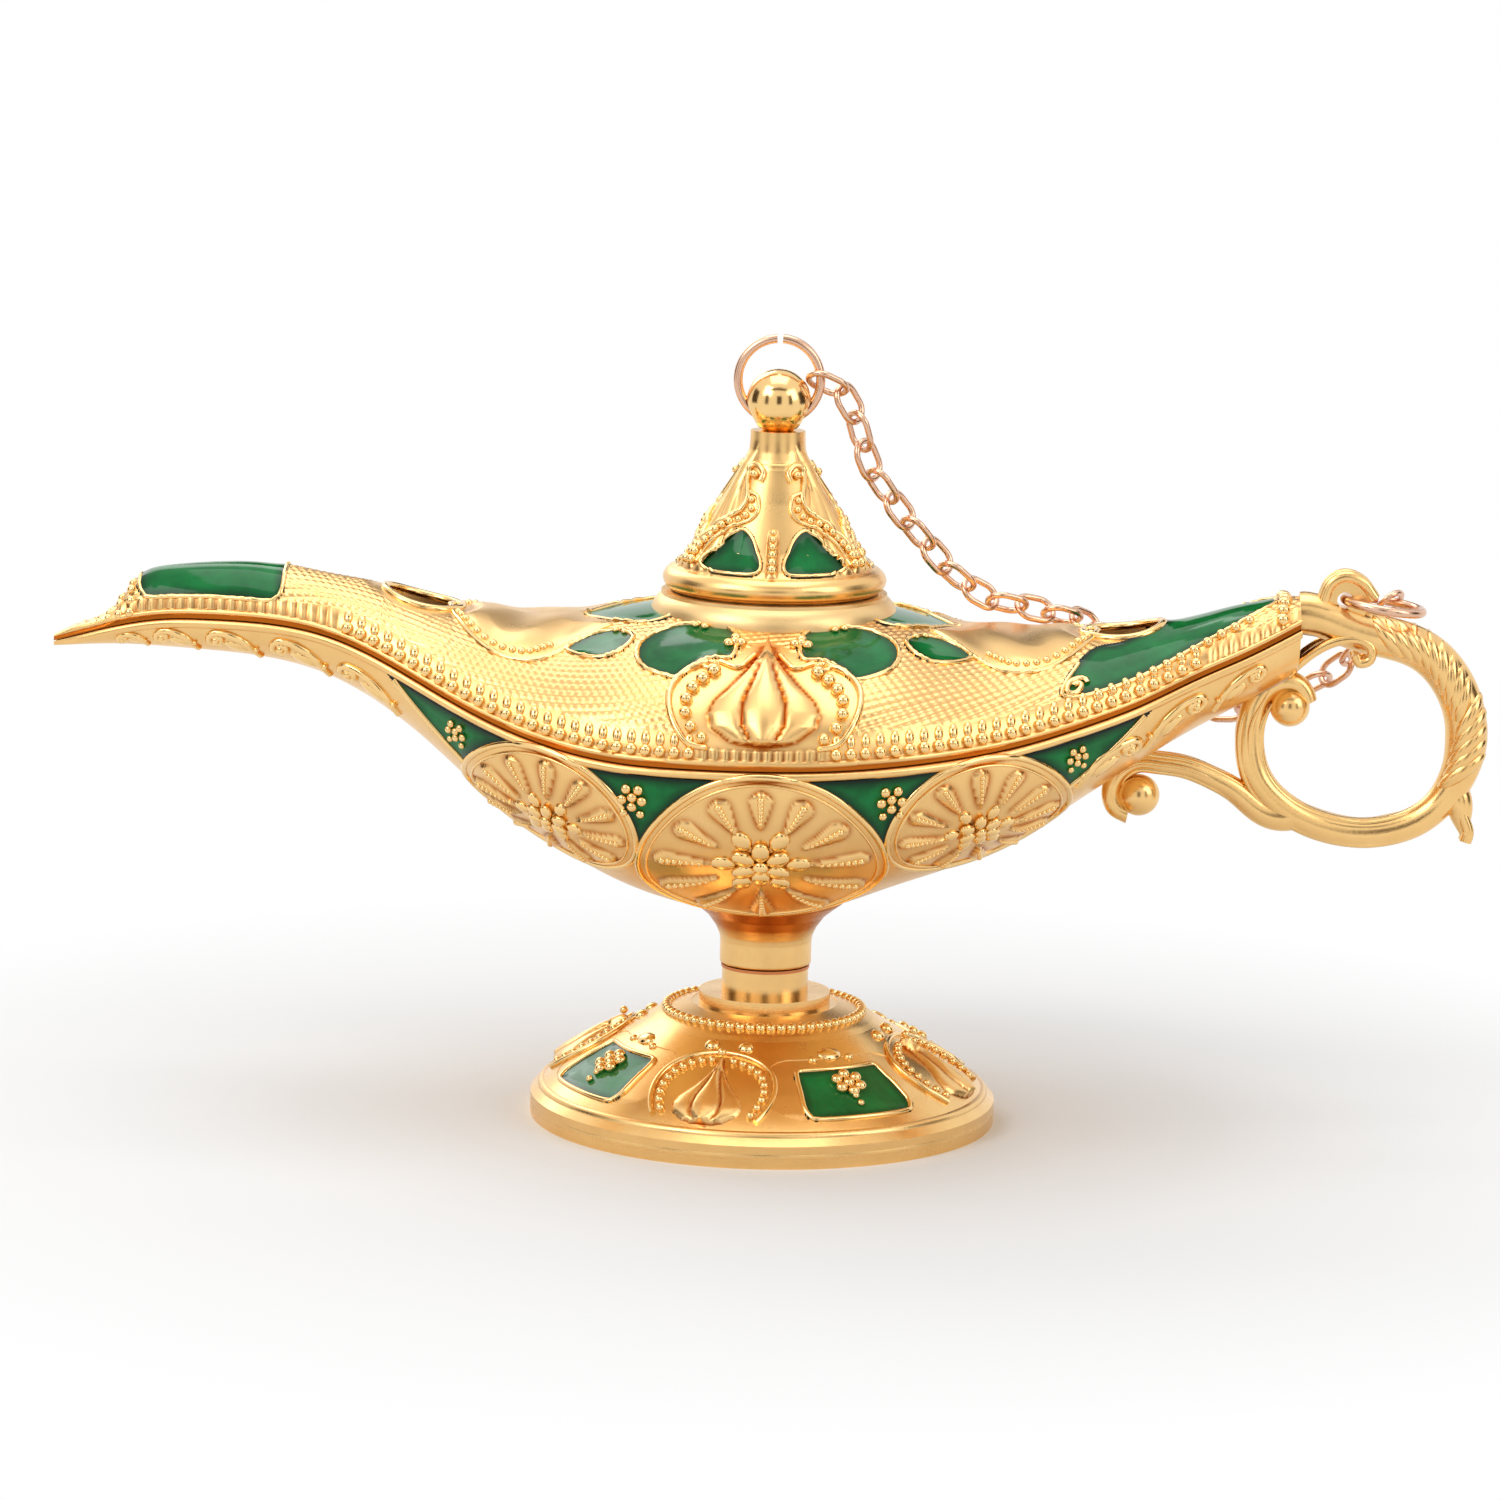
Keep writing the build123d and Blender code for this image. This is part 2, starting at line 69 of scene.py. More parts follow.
class Finish:
    # material tree with one method for every node
    def __init__(self, name):
        self.material = bpy.data.materials.new(name)
        self.material.use_nodes = True
        self.tree = self.material.node_tree
        self.tree.nodes.clear()

    def node(self, kind, settings=None, sockets=None, out=0):
        made = self.tree.nodes.new(kind)
        for key, value in (settings or {}).items():
            setattr(made, key, value)
        for key, value in (sockets or {}).items():
            if isinstance(value, Wire):
                self.tree.links.new(value.socket, made.inputs[key])
            elif isinstance(value, tuple) and len(value) == 3 and made.inputs[key].type == "RGBA":
                made.inputs[key].default_value = (*value, 1)
            else:
                made.inputs[key].default_value = value
        return Wire(self.tree, made.outputs[out]) if len(made.outputs) else made

    def place(self):
        return self.node("ShaderNodeTexCoord", out="Object")

    def noise(self, scale, detail=3.0, rough=0.5):
        return self.node("ShaderNodeTexNoise", None, {
            "Vector": self.place(), "Scale": scale, "Detail": detail, "Roughness": rough})

    def attribute(self, name):
        return self.node("ShaderNodeAttribute", {"attribute_name": name}, None, "Fac")

    def mix(self, share, first, second):
        return self.node("ShaderNodeMix", {"data_type": "RGBA"}, {0: share, 6: first, 7: second}, 2)

    def bump(self, height, strength, distance):
        return self.node("ShaderNodeBump", None, {
            "Height": height, "Strength": strength, "Distance": distance})

    def surface(self, sockets):
        shader = self.node("ShaderNodeBsdfPrincipled", None, sockets)
        self.node("ShaderNodeOutputMaterial", None, {"Surface": shader})
        return self.material


# each finish: two golds mixed by noise, the deep gold of the painted shade, roughness, satin and grain
goldSettings = {
    "gilt": dict(
        bright=(0.94, 0.61, 0.25), deep=(0.50, 0.13, 0.012), shade=(0.74, 0.42, 0.13),
        rough=0.13, satin=0.18, grain=0.000010),
    "satin_gilt": dict(
        bright=(0.90, 0.63, 0.30), deep=(0.50, 0.18, 0.03), shade=(0.70, 0.44, 0.18),
        rough=0.30, satin=0.12, grain=0.000016),
    "bright_gilt": dict(
        bright=(0.98, 0.67, 0.29), deep=(0.60, 0.18, 0.02), shade=(0.82, 0.50, 0.18),
        rough=0.09, satin=0.08, grain=0.000004),
    "rose_gold_wire": dict(
        bright=(0.82, 0.52, 0.36), deep=(0.40, 0.15, 0.08), shade=(0.62, 0.35, 0.22),
        rough=0.16, satin=0.10, grain=0.000004),
    "copper_seam": dict(
        bright=(0.72, 0.27, 0.10), deep=(0.34, 0.07, 0.02), shade=(0.50, 0.15, 0.05),
        rough=0.28, satin=0.15, grain=0.000008),
    "steel_screw": dict(
        bright=(0.62, 0.61, 0.58), deep=(0.30, 0.28, 0.26), shade=(0.45, 0.44, 0.42),
        rough=0.24, satin=0.14, grain=0.000006),
}


plating = dict(cloud=(220.0, 4.0, 0.6), speck=(4200.0, 2.0), contrast=1.6, level=0.45, shadeShare=0.5,
               hollowGain=1.15, mattRough=0.16, speckRough=0.05, bump=0.35, cloudBump=2.0)


def platedMetal(name, look):
    # plating: paler where it is rubbed; painted shade, warmer and darker, in the hollows, grooves and inner walls
    f = Finish(name)
    p = plating
    hollow = f.attribute("hollow")
    matt = f.attribute("matt")
    cloud = f.noise(*p["cloud"])
    speck = f.noise(*p["speck"])
    shaded = (cloud * p["contrast"] - p["level"]).clamp() * p["shadeShare"]
    tone = f.mix(shaded, look["bright"], look["shade"])
    # painted shade: deep gold mixed into the hollows, grooves and inner walls
    colour = f.mix((hollow * p["hollowGain"]).clamp(), tone, look["deep"])
    rough = look["rough"] + look["satin"] * cloud + matt * p["mattRough"] + speck * p["speckRough"]
    return f.surface({
        "Base Color": colour, "Metallic": 1.0, "Roughness": rough.clamp(),
        "Normal": f.bump(speck + cloud * p["cloudBump"], p["bump"], look["grain"]),
    })


glass = dict(swirl=(260.0, 3.0, 0.6), glow=(900.0, 2.0), contrast=1.7, level=0.35,
             deep=(0.0008, 0.085, 0.018), clear=(0.004, 0.26, 0.055), edge=(0.0010, 0.009, 0.004),
             edgePower=0.8, rough=0.05, glowRough=0.05, ior=1.52, specular=0.22,
             glowBump=0.3, bump=0.25, grain=0.00006)


def glassEnamel(name):
    # poured emerald: nearly black where it climbs the cell's edge
    f = Finish(name)
    g = glass
    depth = f.attribute("depth")
    swirl = f.noise(*g["swirl"])
    glow = f.noise(*g["glow"])
    pool = f.mix((swirl * g["contrast"] - g["level"]).clamp(), g["deep"], g["clear"])
    colour = f.mix((depth ** g["edgePower"]).clamp(), g["edge"], pool)
    return f.surface({
        "Base Color": colour, "Roughness": (g["rough"] + g["glowRough"] * glow).clamp(), "IOR": g["ior"],
        "Specular IOR Level": g["specular"],
        "Normal": f.bump(swirl + glow * g["glowBump"], g["bump"], g["grain"]),
    })


metals = {name: platedMetal(name, look) for name, look in goldSettings.items()}
emerald = glassEnamel("enamel")
print("finishes made")


# meshes
def meshObject(name, points, faces, material, sharp=50, **attributes):
    mesh = bpy.data.meshes.new(name)
    mesh.from_pydata((np.asarray(points, float) * mm).tolist(), [], [tuple(f) for f in faces])
    for key, values in attributes.items():
        layer = mesh.attributes.new(key, "FLOAT", "POINT")
        layer.data.foreach_set("value", np.asarray(values, np.float32).ravel())
    mesh.materials.append(material)
    obj = bpy.data.objects.new(name, mesh)
    bpy.context.scene.collection.objects.link(obj)
    tidyMesh(mesh, sharp)
    return obj


def tidyMesh(mesh, sharp=50):
    work = bmesh.new()
    work.from_mesh(mesh)
    bmesh.ops.remove_doubles(work, verts=work.verts, dist=0.00000002)
    bmesh.ops.dissolve_degenerate(work, edges=work.edges, dist=0.00000001)
    bmesh.ops.recalc_face_normals(work, faces=work.faces)
    work.to_mesh(mesh)
    work.free()
    mesh.shade_smooth()
    mesh.set_sharp_from_angle(angle=math.radians(sharp))


def gridFaces(nx, ny, wrapX=False, wrapY=False):
    i, j = np.meshgrid(np.arange(nx if wrapX else nx - 1), np.arange(ny if wrapY else ny - 1), indexing="ij")
    a, b = i * ny + j, ((i + 1) % nx) * ny + j
    c, d = ((i + 1) % nx) * ny + (j + 1) % ny, i * ny + (j + 1) % ny
    return np.stack([a, b, c, d], -1).reshape(-1, 4)


def slab(points, under, faces, *values):
    # closed patch from the chosen faces of a grid: its top, its underside and its edge
    used, index = np.unique(faces, return_inverse=True)
    faces = index.reshape(faces.shape)
    count = len(used)
    edges = np.concatenate([faces[:, [k, (k + 1) % 4]] for k in range(4)])
    key = np.sort(edges, 1)
    _, first, times = np.unique(key, axis=0, return_index=True, return_counts=True)
    rim = edges[first[times == 1]]
    side = np.stack([rim[:, 1], rim[:, 0], rim[:, 0] + count, rim[:, 1] + count], -1)
    allFaces = np.concatenate([faces, faces[:, ::-1] + count, side])
    return np.concatenate([points[used], under[used]]), allFaces, [np.tile(v[used], 2) for v in values]


# drawing on a surface, in millimetres
def ease(t):
    t = np.clip(t, 0, 1)
    return t * t * (3 - 2 * t)


def roundRidge(distance, halfWidth, height):
    return height * np.sqrt(np.clip(1 - (distance / halfWidth) ** 2, 0, 1))


def smoothLine(points, step=0.35, closed=False):
    # an even line through the given points
    p = np.array(points, float)
    ends = (p[-1], p[0], p[1]) if closed else (2 * p[0] - p[1], p[-1], 2 * p[-1] - p[-2])
    q = np.vstack([ends[0], p, ends[1], ends[2]]) if closed else np.vstack([ends[0], p, ends[2]])
    out = []
    for k in range(len(q) - 3):
        a, b, c, d = q[k:k + 4]
        n = max(2, int(np.linalg.norm(c - b) / step))
        t = np.linspace(0, 1, n, endpoint=False)[:, None]
        out.append(0.5 * (2 * b + (c - a) * t + (2 * a - 5 * b + 4 * c - d) * t ** 2
                          + (3 * b - a - 3 * c + d) * t ** 3))
    line = np.vstack(out)
    return line if closed else np.vstack([line, p[-1]])


def insidePolygon(x, s, points):
    # signed distance to a closed outline, below zero inside
    line = smoothLine(points, 0.5, True)
    best = np.full(x.shape, 1e9)
    inside = np.zeros(x.shape, bool)
    for a, b in zip(line, np.roll(line, -1, 0)):
        ex, es = b - a
        t = np.clip(((x - a[0]) * ex + (s - a[1]) * es) / (ex * ex + es * es + 1e-12), 0, 1)
        best = np.minimum(best, (x - a[0] - t * ex) ** 2 + (s - a[1] - t * es) ** 2)
        if es:
            cross = ((a[1] > s) != (b[1] > s)) & (x < ex * (s - a[1]) / es + a[0])
            inside ^= cross
    return np.where(inside, -1, 1) * np.sqrt(best)


def runAlong(line):
    # distance along a line at each of its points
    return np.concatenate([[0], np.cumsum(np.hypot(*np.diff(line, axis=0).T))])


def teardrop(x, s, centre, angle, near, far, width, height):
    # domed drop from near to far, widest at a share of its length
    widest, rest = 0.78, 0.22
    ux, us = math.cos(angle), math.sin(angle)
    u = ((x - centre[0]) * ux + (s - centre[1]) * us - near) / (far - near)
    v = -(x - centre[0]) * us + (s - centre[1]) * ux
    nose = np.sqrt(np.clip(1 - (np.clip(u - widest, 0, 1) / rest) ** 2, 0, 1))
    spread = np.clip(u / widest, 0, 1) ** 0.8 * nose
    half = np.maximum(width / 2 * spread, 1e-4)
    return np.where((u > 0) & (u < 1), height * np.clip(1 - (v / half) ** 2, 0, 1) ** 0.5, 0)


onion = dict(up=(-0.4, 0, 1.4, 2.8, 4.4, 6.4, 8.4, 10.4, 13.0), half=(0, 3.0, 4.9, 5.3, 4.7, 3.1, 1.8, 0.8, 0.02),
             lobeAt=0.40, grooveWidth=0.30, grooveTop=10, dome=1.05, groove=0.42, drop=0.35)


def onionShape(q, v, size):
    # pointed onion, foot at v = 0 and tip at v = 13 sizes, with a middle drop and two lobes
    v = v / size
    q = q / size
    width = np.interp(v, onion["up"], onion["half"])
    inside = (v > onion["up"][0]) & (v < onion["up"][-1])
    dome = np.where(inside, np.sqrt(np.clip(1 - (q / np.maximum(width, 0.02)) ** 2, 0, 1)), 0)
    lobe = (np.abs(q) - onion["lobeAt"] * width) / onion["grooveWidth"]
    groove = np.exp(-lobe ** 2) * (v < onion["grooveTop"])
    middle = np.exp(-(q / (0.22 * width + 0.1)) ** 2) * onion["drop"]
    return size * (onion["dome"] * dome - onion["groove"] * groove * dome + middle * dome)


def spiral(centre, start, turns, big, small, step=14):
    # a volute from its outside in to its eye
    n = int(step * abs(turns)) + 1
    t = np.linspace(0, 1, n)
    a = start + 2 * math.pi * turns * t
    r = big + (small - big) * t
    return np.stack([centre[0] + r * np.cos(a), centre[1] + r * np.sin(a)], -1)


def hollows(height, reach=5):
    # how far each place lies below its surroundings, which sets the painted shade
    soft = height.copy()
    for _ in range(reach):
        soft[1:-1] = (soft[:-2] + 2 * soft[1:-1] + soft[2:]) / 4
        soft[:, 1:-1] = (soft[:, :-2] + 2 * soft[:, 1:-1] + soft[:, 2:]) / 4
    return np.clip((soft - height) / 0.16, 0, 1)


# the boat-shaped body
body = dict(
    spoutReach=70.4, tailReach=51.0, halfWidth=25.0, height=53.5, wall=1.2, seamGap=0.05,
    columns=570, rows=150, insideRows=9,
    throat=(0.0, 9.0), ports=((-34.2, 3.55), (34.0, 3.7)),
    # along the reach: half width, keel, seam and ridge, as shares
    spout=((1.000, .030, .838, .847, .858), (.960, .070, .842, .864, .880), (.920, .100, .845, .880, .905),
           (.880, .120, .845, .893, .970), (.840, .150, .843, .902, .992), (.780, .180, .839, .906, 1.000),
           (.700, .210, .829, .904, 1.000), (.620, .250, .803, .890, .982), (.540, .340, .750, .857, .964),
           (.460, .480, .672, .813, .937), (.380, .640, .582, .773, .918), (.300, .790, .512, .745, .914),
           (.200, .930, .443, .727, .938), (.100, .985, .402, .723, .955), (0, 1.000, .387, .723, .960)),
    tail=((.120, .985, .405, .726, .955), (.240, .920, .447, .732, .945), (.360, .790, .487, .740, .917),
          (.480, .650, .541, .756, .911), (.600, .520, .618, .785, .918), (.700, .400, .683, .815, .930),
          (.800, .310, .744, .857, .950), (.900, .250, .798, .898, .977), (1.000, .180, .855, .945, .990)),
)


def evenCurve(places, values):
    # cubic through all the sections
    n = len(places)
    gap = np.diff(places)
    matrix, right = np.zeros((n, n)), np.zeros(n)
    matrix[0, 0] = matrix[-1, -1] = 1
    for i in range(1, n - 1):
        matrix[i, i - 1:i + 2] = gap[i - 1], 2 * (gap[i - 1] + gap[i]), gap[i]
        right[i] = 6 * ((values[i + 1] - values[i]) / gap[i] - (values[i] - values[i - 1]) / gap[i - 1])
    bend = np.linalg.solve(matrix, right)

    def value(x):
        i = np.clip(np.searchsorted(places, x) - 1, 0, n - 2)
        t, u, h = x - places[i], places[i + 1] - x, gap[i]
        curved = (bend[i] * u ** 3 + bend[i + 1] * t ** 3) / (6 * h)
        return curved + (values[i] / h - bend[i] * h / 6) * u + (values[i + 1] / h - bend[i + 1] * h / 6) * t
    return value


stations = np.array(
    [(-body["spoutReach"] * a, *rest) for a, *rest in body["spout"]]
    + [(body["tailReach"] * a, *rest) for a, *rest in body["tail"]])
halfWidthAt = evenCurve(stations[:, 0], stations[:, 1] * body["halfWidth"])
keelAt, seamAt, ridgeAt = (evenCurve(stations[:, 0], stations[:, k] * body["height"]) for k in (2, 3, 4))


def riseAt(x, upper):
    return ridgeAt(x) - seamAt(x) if upper else keelAt(x) - seamAt(x)


def arcRun(w, rise, turn):
    # distance from the seam round one section, at each angle
    return np.concatenate([[0], np.cumsum(np.hypot(np.diff(w * np.cos(turn)), np.diff(rise * np.sin(turn))))])


def bodyPoint(x, s, upper, back=False):
    # place and outward direction at x and at the distance s from the seam round the section
    x, s = np.broadcast_arrays(np.asarray(x, float), np.asarray(s, float))
    place, out = np.zeros(x.shape + (3,)), np.zeros(x.shape + (3,))
    turn = np.linspace(0, math.pi / 2, 90)
    for i in np.ndindex(x.shape):
        xi = x[i]
        w, rise, seam = halfWidthAt(xi), riseAt(xi, upper), seamAt(xi)
        run = arcRun(w, rise, turn)
        t = np.interp(s[i], run, turn)
        place[i] = xi, -w * math.cos(t), seam + rise * math.sin(t)
        e = 0.2
        w2, rise2, seam2 = halfWidthAt(xi + e), riseAt(xi + e, upper), seamAt(xi + e)
        along = np.array([e, -(w2 - w) * math.cos(t), seam2 - seam + (rise2 - rise) * math.sin(t)])
        about = np.array([0, w * math.sin(t), rise * math.cos(t)])
        normal = np.cross(along, about) * (1 if upper else -1)
        out[i] = normal / np.linalg.norm(normal)
    if back:
        place[..., 1] *= -1
        out[..., 1] *= -1
    return place, out


# ornament of the lower hull
hullArt = dict(
    # x, s and radius of each rosette, and s of its flower
    rosettes=((0.0, 12.2, 11.8, 10.4), (-20.5, 9.0, 8.7, 9.0), (20.5, 9.0, 8.7, 9.0)),
    rings=((0.0, 0.34, 0.02), (0.85, 0.15, 0.08)),          # inset, gauge and lift
    petals=12, petalNear=0.38, petalFar=0.865, petalWidth=0.19, petalRise=0.42, petalBeads=7,
    flowerSize=1.30, ground=0.10, groundEdge=0.6,
    lip=0.85, lipRise=0.42, fieldTop=1.05, edge=0.30, sink=0.40,
    innerLow=9.2, innerMiddle=12, innerHalf=8.2, outerStart=24.0, outerSlope=0.78, outerEnd=36.0,
    clusters=((12.1, 3.1, 0.52), (29.6, 2.7, 0.40)), cellEdge=((36.0, 1.15), (32.4, 3.96), (28.9, 6.69)),
    # place and radius of each scroll along the border, and the stalk that leads into it, in radii
    volutes=((-63.4, 1.6, .50), (-59.4, 1.9, .70), (-54.0, 2.2, .85), (-47.6, 2.6, .95), (-40.8, 3.4, 1.0),
             (34.8, 4.4, 1.0), (41.0, 2.8, .95), (46.8, 2.4, .8)),
    stalk=((5.0, 2.9), (3.5, 0.4), (1.6, -0.8), (0, -1)), leafAt=(2.3, 1.5), berryAt=(4.6, 1.2),
)


def petalsOf(rosette):
    # angle, start and end of each petal
    _, cs, r, fs = rosette
    count = hullArt["petals"]
    for k in range(count):
        a = 2 * math.pi * (k + 0.5) / count + math.pi / count
        yield a, r * hullArt["petalNear"], r * hullArt["petalFar"] + (cs - fs) * math.sin(a)


def hullFields(x, s):
    # signed distances to the green cells below the seam
    art = hullArt
    rings = [np.hypot(x - cx, s - cs) - r for cx, cs, r, _ in art["rosettes"]]
    away = np.minimum.reduce(rings) - art["edge"]
    inner = np.maximum.reduce([-away, art["fieldTop"] - s, s - art["innerLow"],
                               np.abs(np.abs(x) - art["innerMiddle"]) - art["innerHalf"]])
    drop = (art["outerEnd"] - np.abs(x)) * art["outerSlope"]
    slope = (s - art["fieldTop"] - 0.1 - drop) / math.hypot(1, art["outerSlope"])
    outer = np.maximum.reduce([-away, art["fieldTop"] - s, slope, art["outerStart"] - np.abs(x)])
    return np.minimum(inner, outer)


def hullRelief(x, s):
    art = hullArt
    h = roundRidge(s - art["lip"] / 2, art["lip"] / 2, art["lipRise"])
    for rosette in art["rosettes"]:
        cx, cs, r, fs = rosette
        near = np.hypot(x - cx, s - cs)
        h = h - art["ground"] * ease((r - near) / art["groundEdge"]) * (near < r)
        for a, start, reach in petalsOf(rosette):
            petal = teardrop(x, s, (cx, fs), a, start, reach, r * art["petalWidth"], art["petalRise"])
            h = np.maximum(h, petal)
    field = hullFields(x, s)
    return np.where(field < 0, -art["sink"], h)


# ornament of the upper shell
kidney = ((12.4, 13.2), (11.7, 11.3), (10.1, 10.3), (8.3, 9.9), (7.3, 11.2), (6.2, 12.5), (4.9, 13.2),
          (3.5, 13.2), (3.0, 15.2), (3.4, 18.4), (5.5, 20.0), (8.5, 20.0), (10.9, 18.0), (12.2, 15.6))
almond = ((19.3, 13.2), (17.5, 12.3), (15.5, 12.6), (13.8, 14.4), (13.0, 17.0), (14.4, 18.6), (16.4, 18.0),
          (18.2, 15.8))
shoulder = ((18.2, 24.3), (15.0, 21.7), (12.1, 20.8), (9.6, 23.0), (9.0, 31.0), (15.0, 33.0), (19.0, 30.0))
shellArt = dict(
    groove=0.42, grooveDepth=0.45, lip=0.5, lipRise=0.30, bandTop=3.5, bandSink=0.16,
    flutePitch=0.5, fluteRise=0.24, stipple=0.86, stippleRise=0.15, sink=0.38,
    onionFoot=2.7, onionSize=0.98, frameSink=0.12, leafSwell=0.55, leafRipple=0.10, leafBeadPitch=1.0,
    leaf=((31.8, 17.5), (30.8, 12.3), (28.6, 9.3), (25.8, 8.3), (22.2, 9.7), (19.6, 13.2), (17.7, 17.0),
          (15.4, 20.4), (17.8, 24.4), (20.0, 34.0), (31.0, 34.0)),
    leafEdge=((31.6, 15.6), (30.8, 12.3), (28.6, 9.3), (25.8, 8.3), (22.2, 9.7), (19.6, 13.2), (17.7, 17.0),
              (15.4, 20.4)),
    leafBeads=((30.9, 14.6), (30.0, 12.4), (28.2, 10.3), (25.9, 9.4), (23.2, 10.3), (21.0, 13.0)),
    frameEdge=((5.2, 2.1), (7.2, 2.6), (8.7, 5.2), (8.9, 8.2), (7.6, 10.8), (5.6, 12.3)),
    brow=((1.2, 13.6), (2.6, 11.6), (4.4, 12.4)), browCurl=(5.3, 12.0),
    onionBeads=((5.7, 3.0), (6.9, 4.2), (7.4, 6.0), (7.1, 7.8), (6.1, 9.4), (4.9, 10.8)), onionBeadPitch=1.55,
    # border beads from x to x: pitch, then distance above the lip, size, lift, flatness, stretch and turn
    bandReach=(6.9, 42), pitch=1.36,
    bandRows=((0.62, 0.60, 0.12, 0.85, 1.0, 0.0), (1.78, 0.46, 0.05, 0.75, 1.75, math.pi / 2)),
    # loose beads: points, size, lift, flatness
    loose=((((3.1, 16.65), (2.5, 15.6), (3.75, 15.55), (3.1, 15.9)), 0.52, 0.30, 0.9),
           (((6.2, 19.2), (7.1, 19.6)), 0.40, 0.3, 0.8), (((13.9, 18.0), (14.8, 18.4)), 0.36, 0.25, 0.8)),
    mouthRows=((-62.6, 4, .50), (-63.7, 3, .48), (-64.8, 3, .42), (-65.8, 2, .38)),      # x, count, size
    tailEnd=((49.2, 1.9), (49.3, 3.1), (49.5, 4.3), (49.6, 5.5), (49.6, 6.7)),
    tailRow=(31.5, 46.5, 1.32), tailCurl=(29.3, 4.4),
    portRing=dict(out=0.22, up=0.05, gauge=0.42, steps=72), portGround=(2.4, 1.0, 1.4),
    spoutSaddle=(-54.7, 7.1, 2.2, 1.6),                     # middle, half length, lowest s, corner
    tailSaddle=((28.0, 4.6), (28.7, 3.5), (31.0, 3.0), (36, 2.9), (40.5, 3.3), (44.5, 4.0), (48.3, 5.2),
                (48.7, 7.2), (48.5, 9.8), (44, 12.0), (39.0, 13.0), (38.1, 10.2), (34.2, 8.9), (31.4, 9.5),
                (29.6, 7.6)),
)


def sided(points, side):
    # the same points on one side or on the other
    return [(a * side, b) for a, b in points]


def shellFields(x, s):
    # signed distances to each green cell above the seam
    art = shellArt
    middle, half, low, corner = art["spoutSaddle"]
    dx, ds = np.abs(x - middle) - half + corner, low + corner - s
    saddle = np.hypot(np.maximum(dx, 0), np.maximum(ds, 0)) + np.minimum(np.maximum(dx, ds), 0) - corner
    away = np.abs(x)
    return dict(
        crown=np.minimum.reduce([insidePolygon(away, s, p) for p in (kidney, almond, shoulder)]),
        spout=saddle, tail=insidePolygon(x, s, art["tailSaddle"]))


def bandTopAt(x):
    return shellArt["bandTop"] * (0.62 + 0.38 * ease((50 - np.abs(x)) / 12))


def shellRelief(x, s):
    art = shellArt
    away = np.abs(x)
    band = (s > art["groove"] + art["lip"]) & (s < bandTopAt(x))
    u, v = (x + 0.55 * s) / art["stipple"], (x * 0.25 - s) / art["stipple"]
    h = art["stippleRise"] * np.abs(np.sin(math.pi * u) * np.sin(math.pi * v)) - 0.02
    leaf = insidePolygon(away, s, art["leaf"])
    ripple = art["leafRipple"] * np.cos(away * 1.15 + s * 0.35) * ease(-leaf / 2)
    h = np.where(leaf < 0, art["leafSwell"] * np.sqrt(np.clip(-leaf / 4.0, 0, 1)) + ripple, h)
    plain = (x < -58) & (s < 2.4)
    flutes = art["fluteRise"] * np.abs(np.sin(math.pi * x / art["flutePitch"] / 2))
    fluted = (away > art["bandReach"][1]) | (away < 6.2) | plain
    h = np.where(band, np.where(fluted, flutes - 0.05, -art["bandSink"]), h)
    inFrame = insidePolygon(away, s, ((-1, 2.2),) + art["frameEdge"] + ((3.4, 14.0), (-1, 16.0)))
    h = np.where((inFrame < 0) & (s > 2.0), -art["frameSink"], h)
    dome = onionShape(x, s - art["onionFoot"], art["onionSize"])
    h = np.maximum(h, np.where(dome > 0.02, dome, -1))
    h = np.where(s < art["groove"], -art["grooveDepth"], h)
    h = np.maximum(h, roundRidge(s - art["groove"] - art["lip"] / 2, art["lip"] / 2, art["lipRise"]))
    wide, start, fade = art["portGround"]
    for port, radius in body["ports"]:
        reach = np.hypot(x - port, (s - shellTop(x)) * 0.98)
        h = np.where(reach < radius + wide, h * ease((reach - radius - start) / fade), h)
    fields = np.minimum.reduce(list(shellFields(x, s).values()))
    return np.where(fields < 0, -art["sink"], h)


topTable = np.linspace(-body["spoutReach"], body["tailReach"], 600)
quarter = np.linspace(0, math.pi / 2, 60)
topReach = [arcRun(halfWidthAt(x), riseAt(x, True), quarter)[-1] for x in topTable]


def shellTop(x):
    return np.interp(x, topTable, topReach)


# skins of the body: closed half shells with their inner wall
def columnPlaces(holes):
    # sections close together where a round hole begins and ends
    ends = [-body["spoutReach"]]
    out = []
    step = (body["spoutReach"] + body["tailReach"]) / body["columns"]
    for middle, radius in holes:
        n = max(3, int((middle - radius - ends[-1]) / step))
        out.append(np.linspace(ends[-1], middle - radius, n, endpoint=False))
        n = max(16, int(2 * radius / step))
        out.append(middle - radius * np.cos(np.linspace(0, math.pi, n, endpoint=False)))
        ends.append(middle + radius)
    n = int((body["tailReach"] - ends[-1]) / step)
    out.append(np.linspace(ends[-1], body["tailReach"], n))
    return np.concatenate(out)


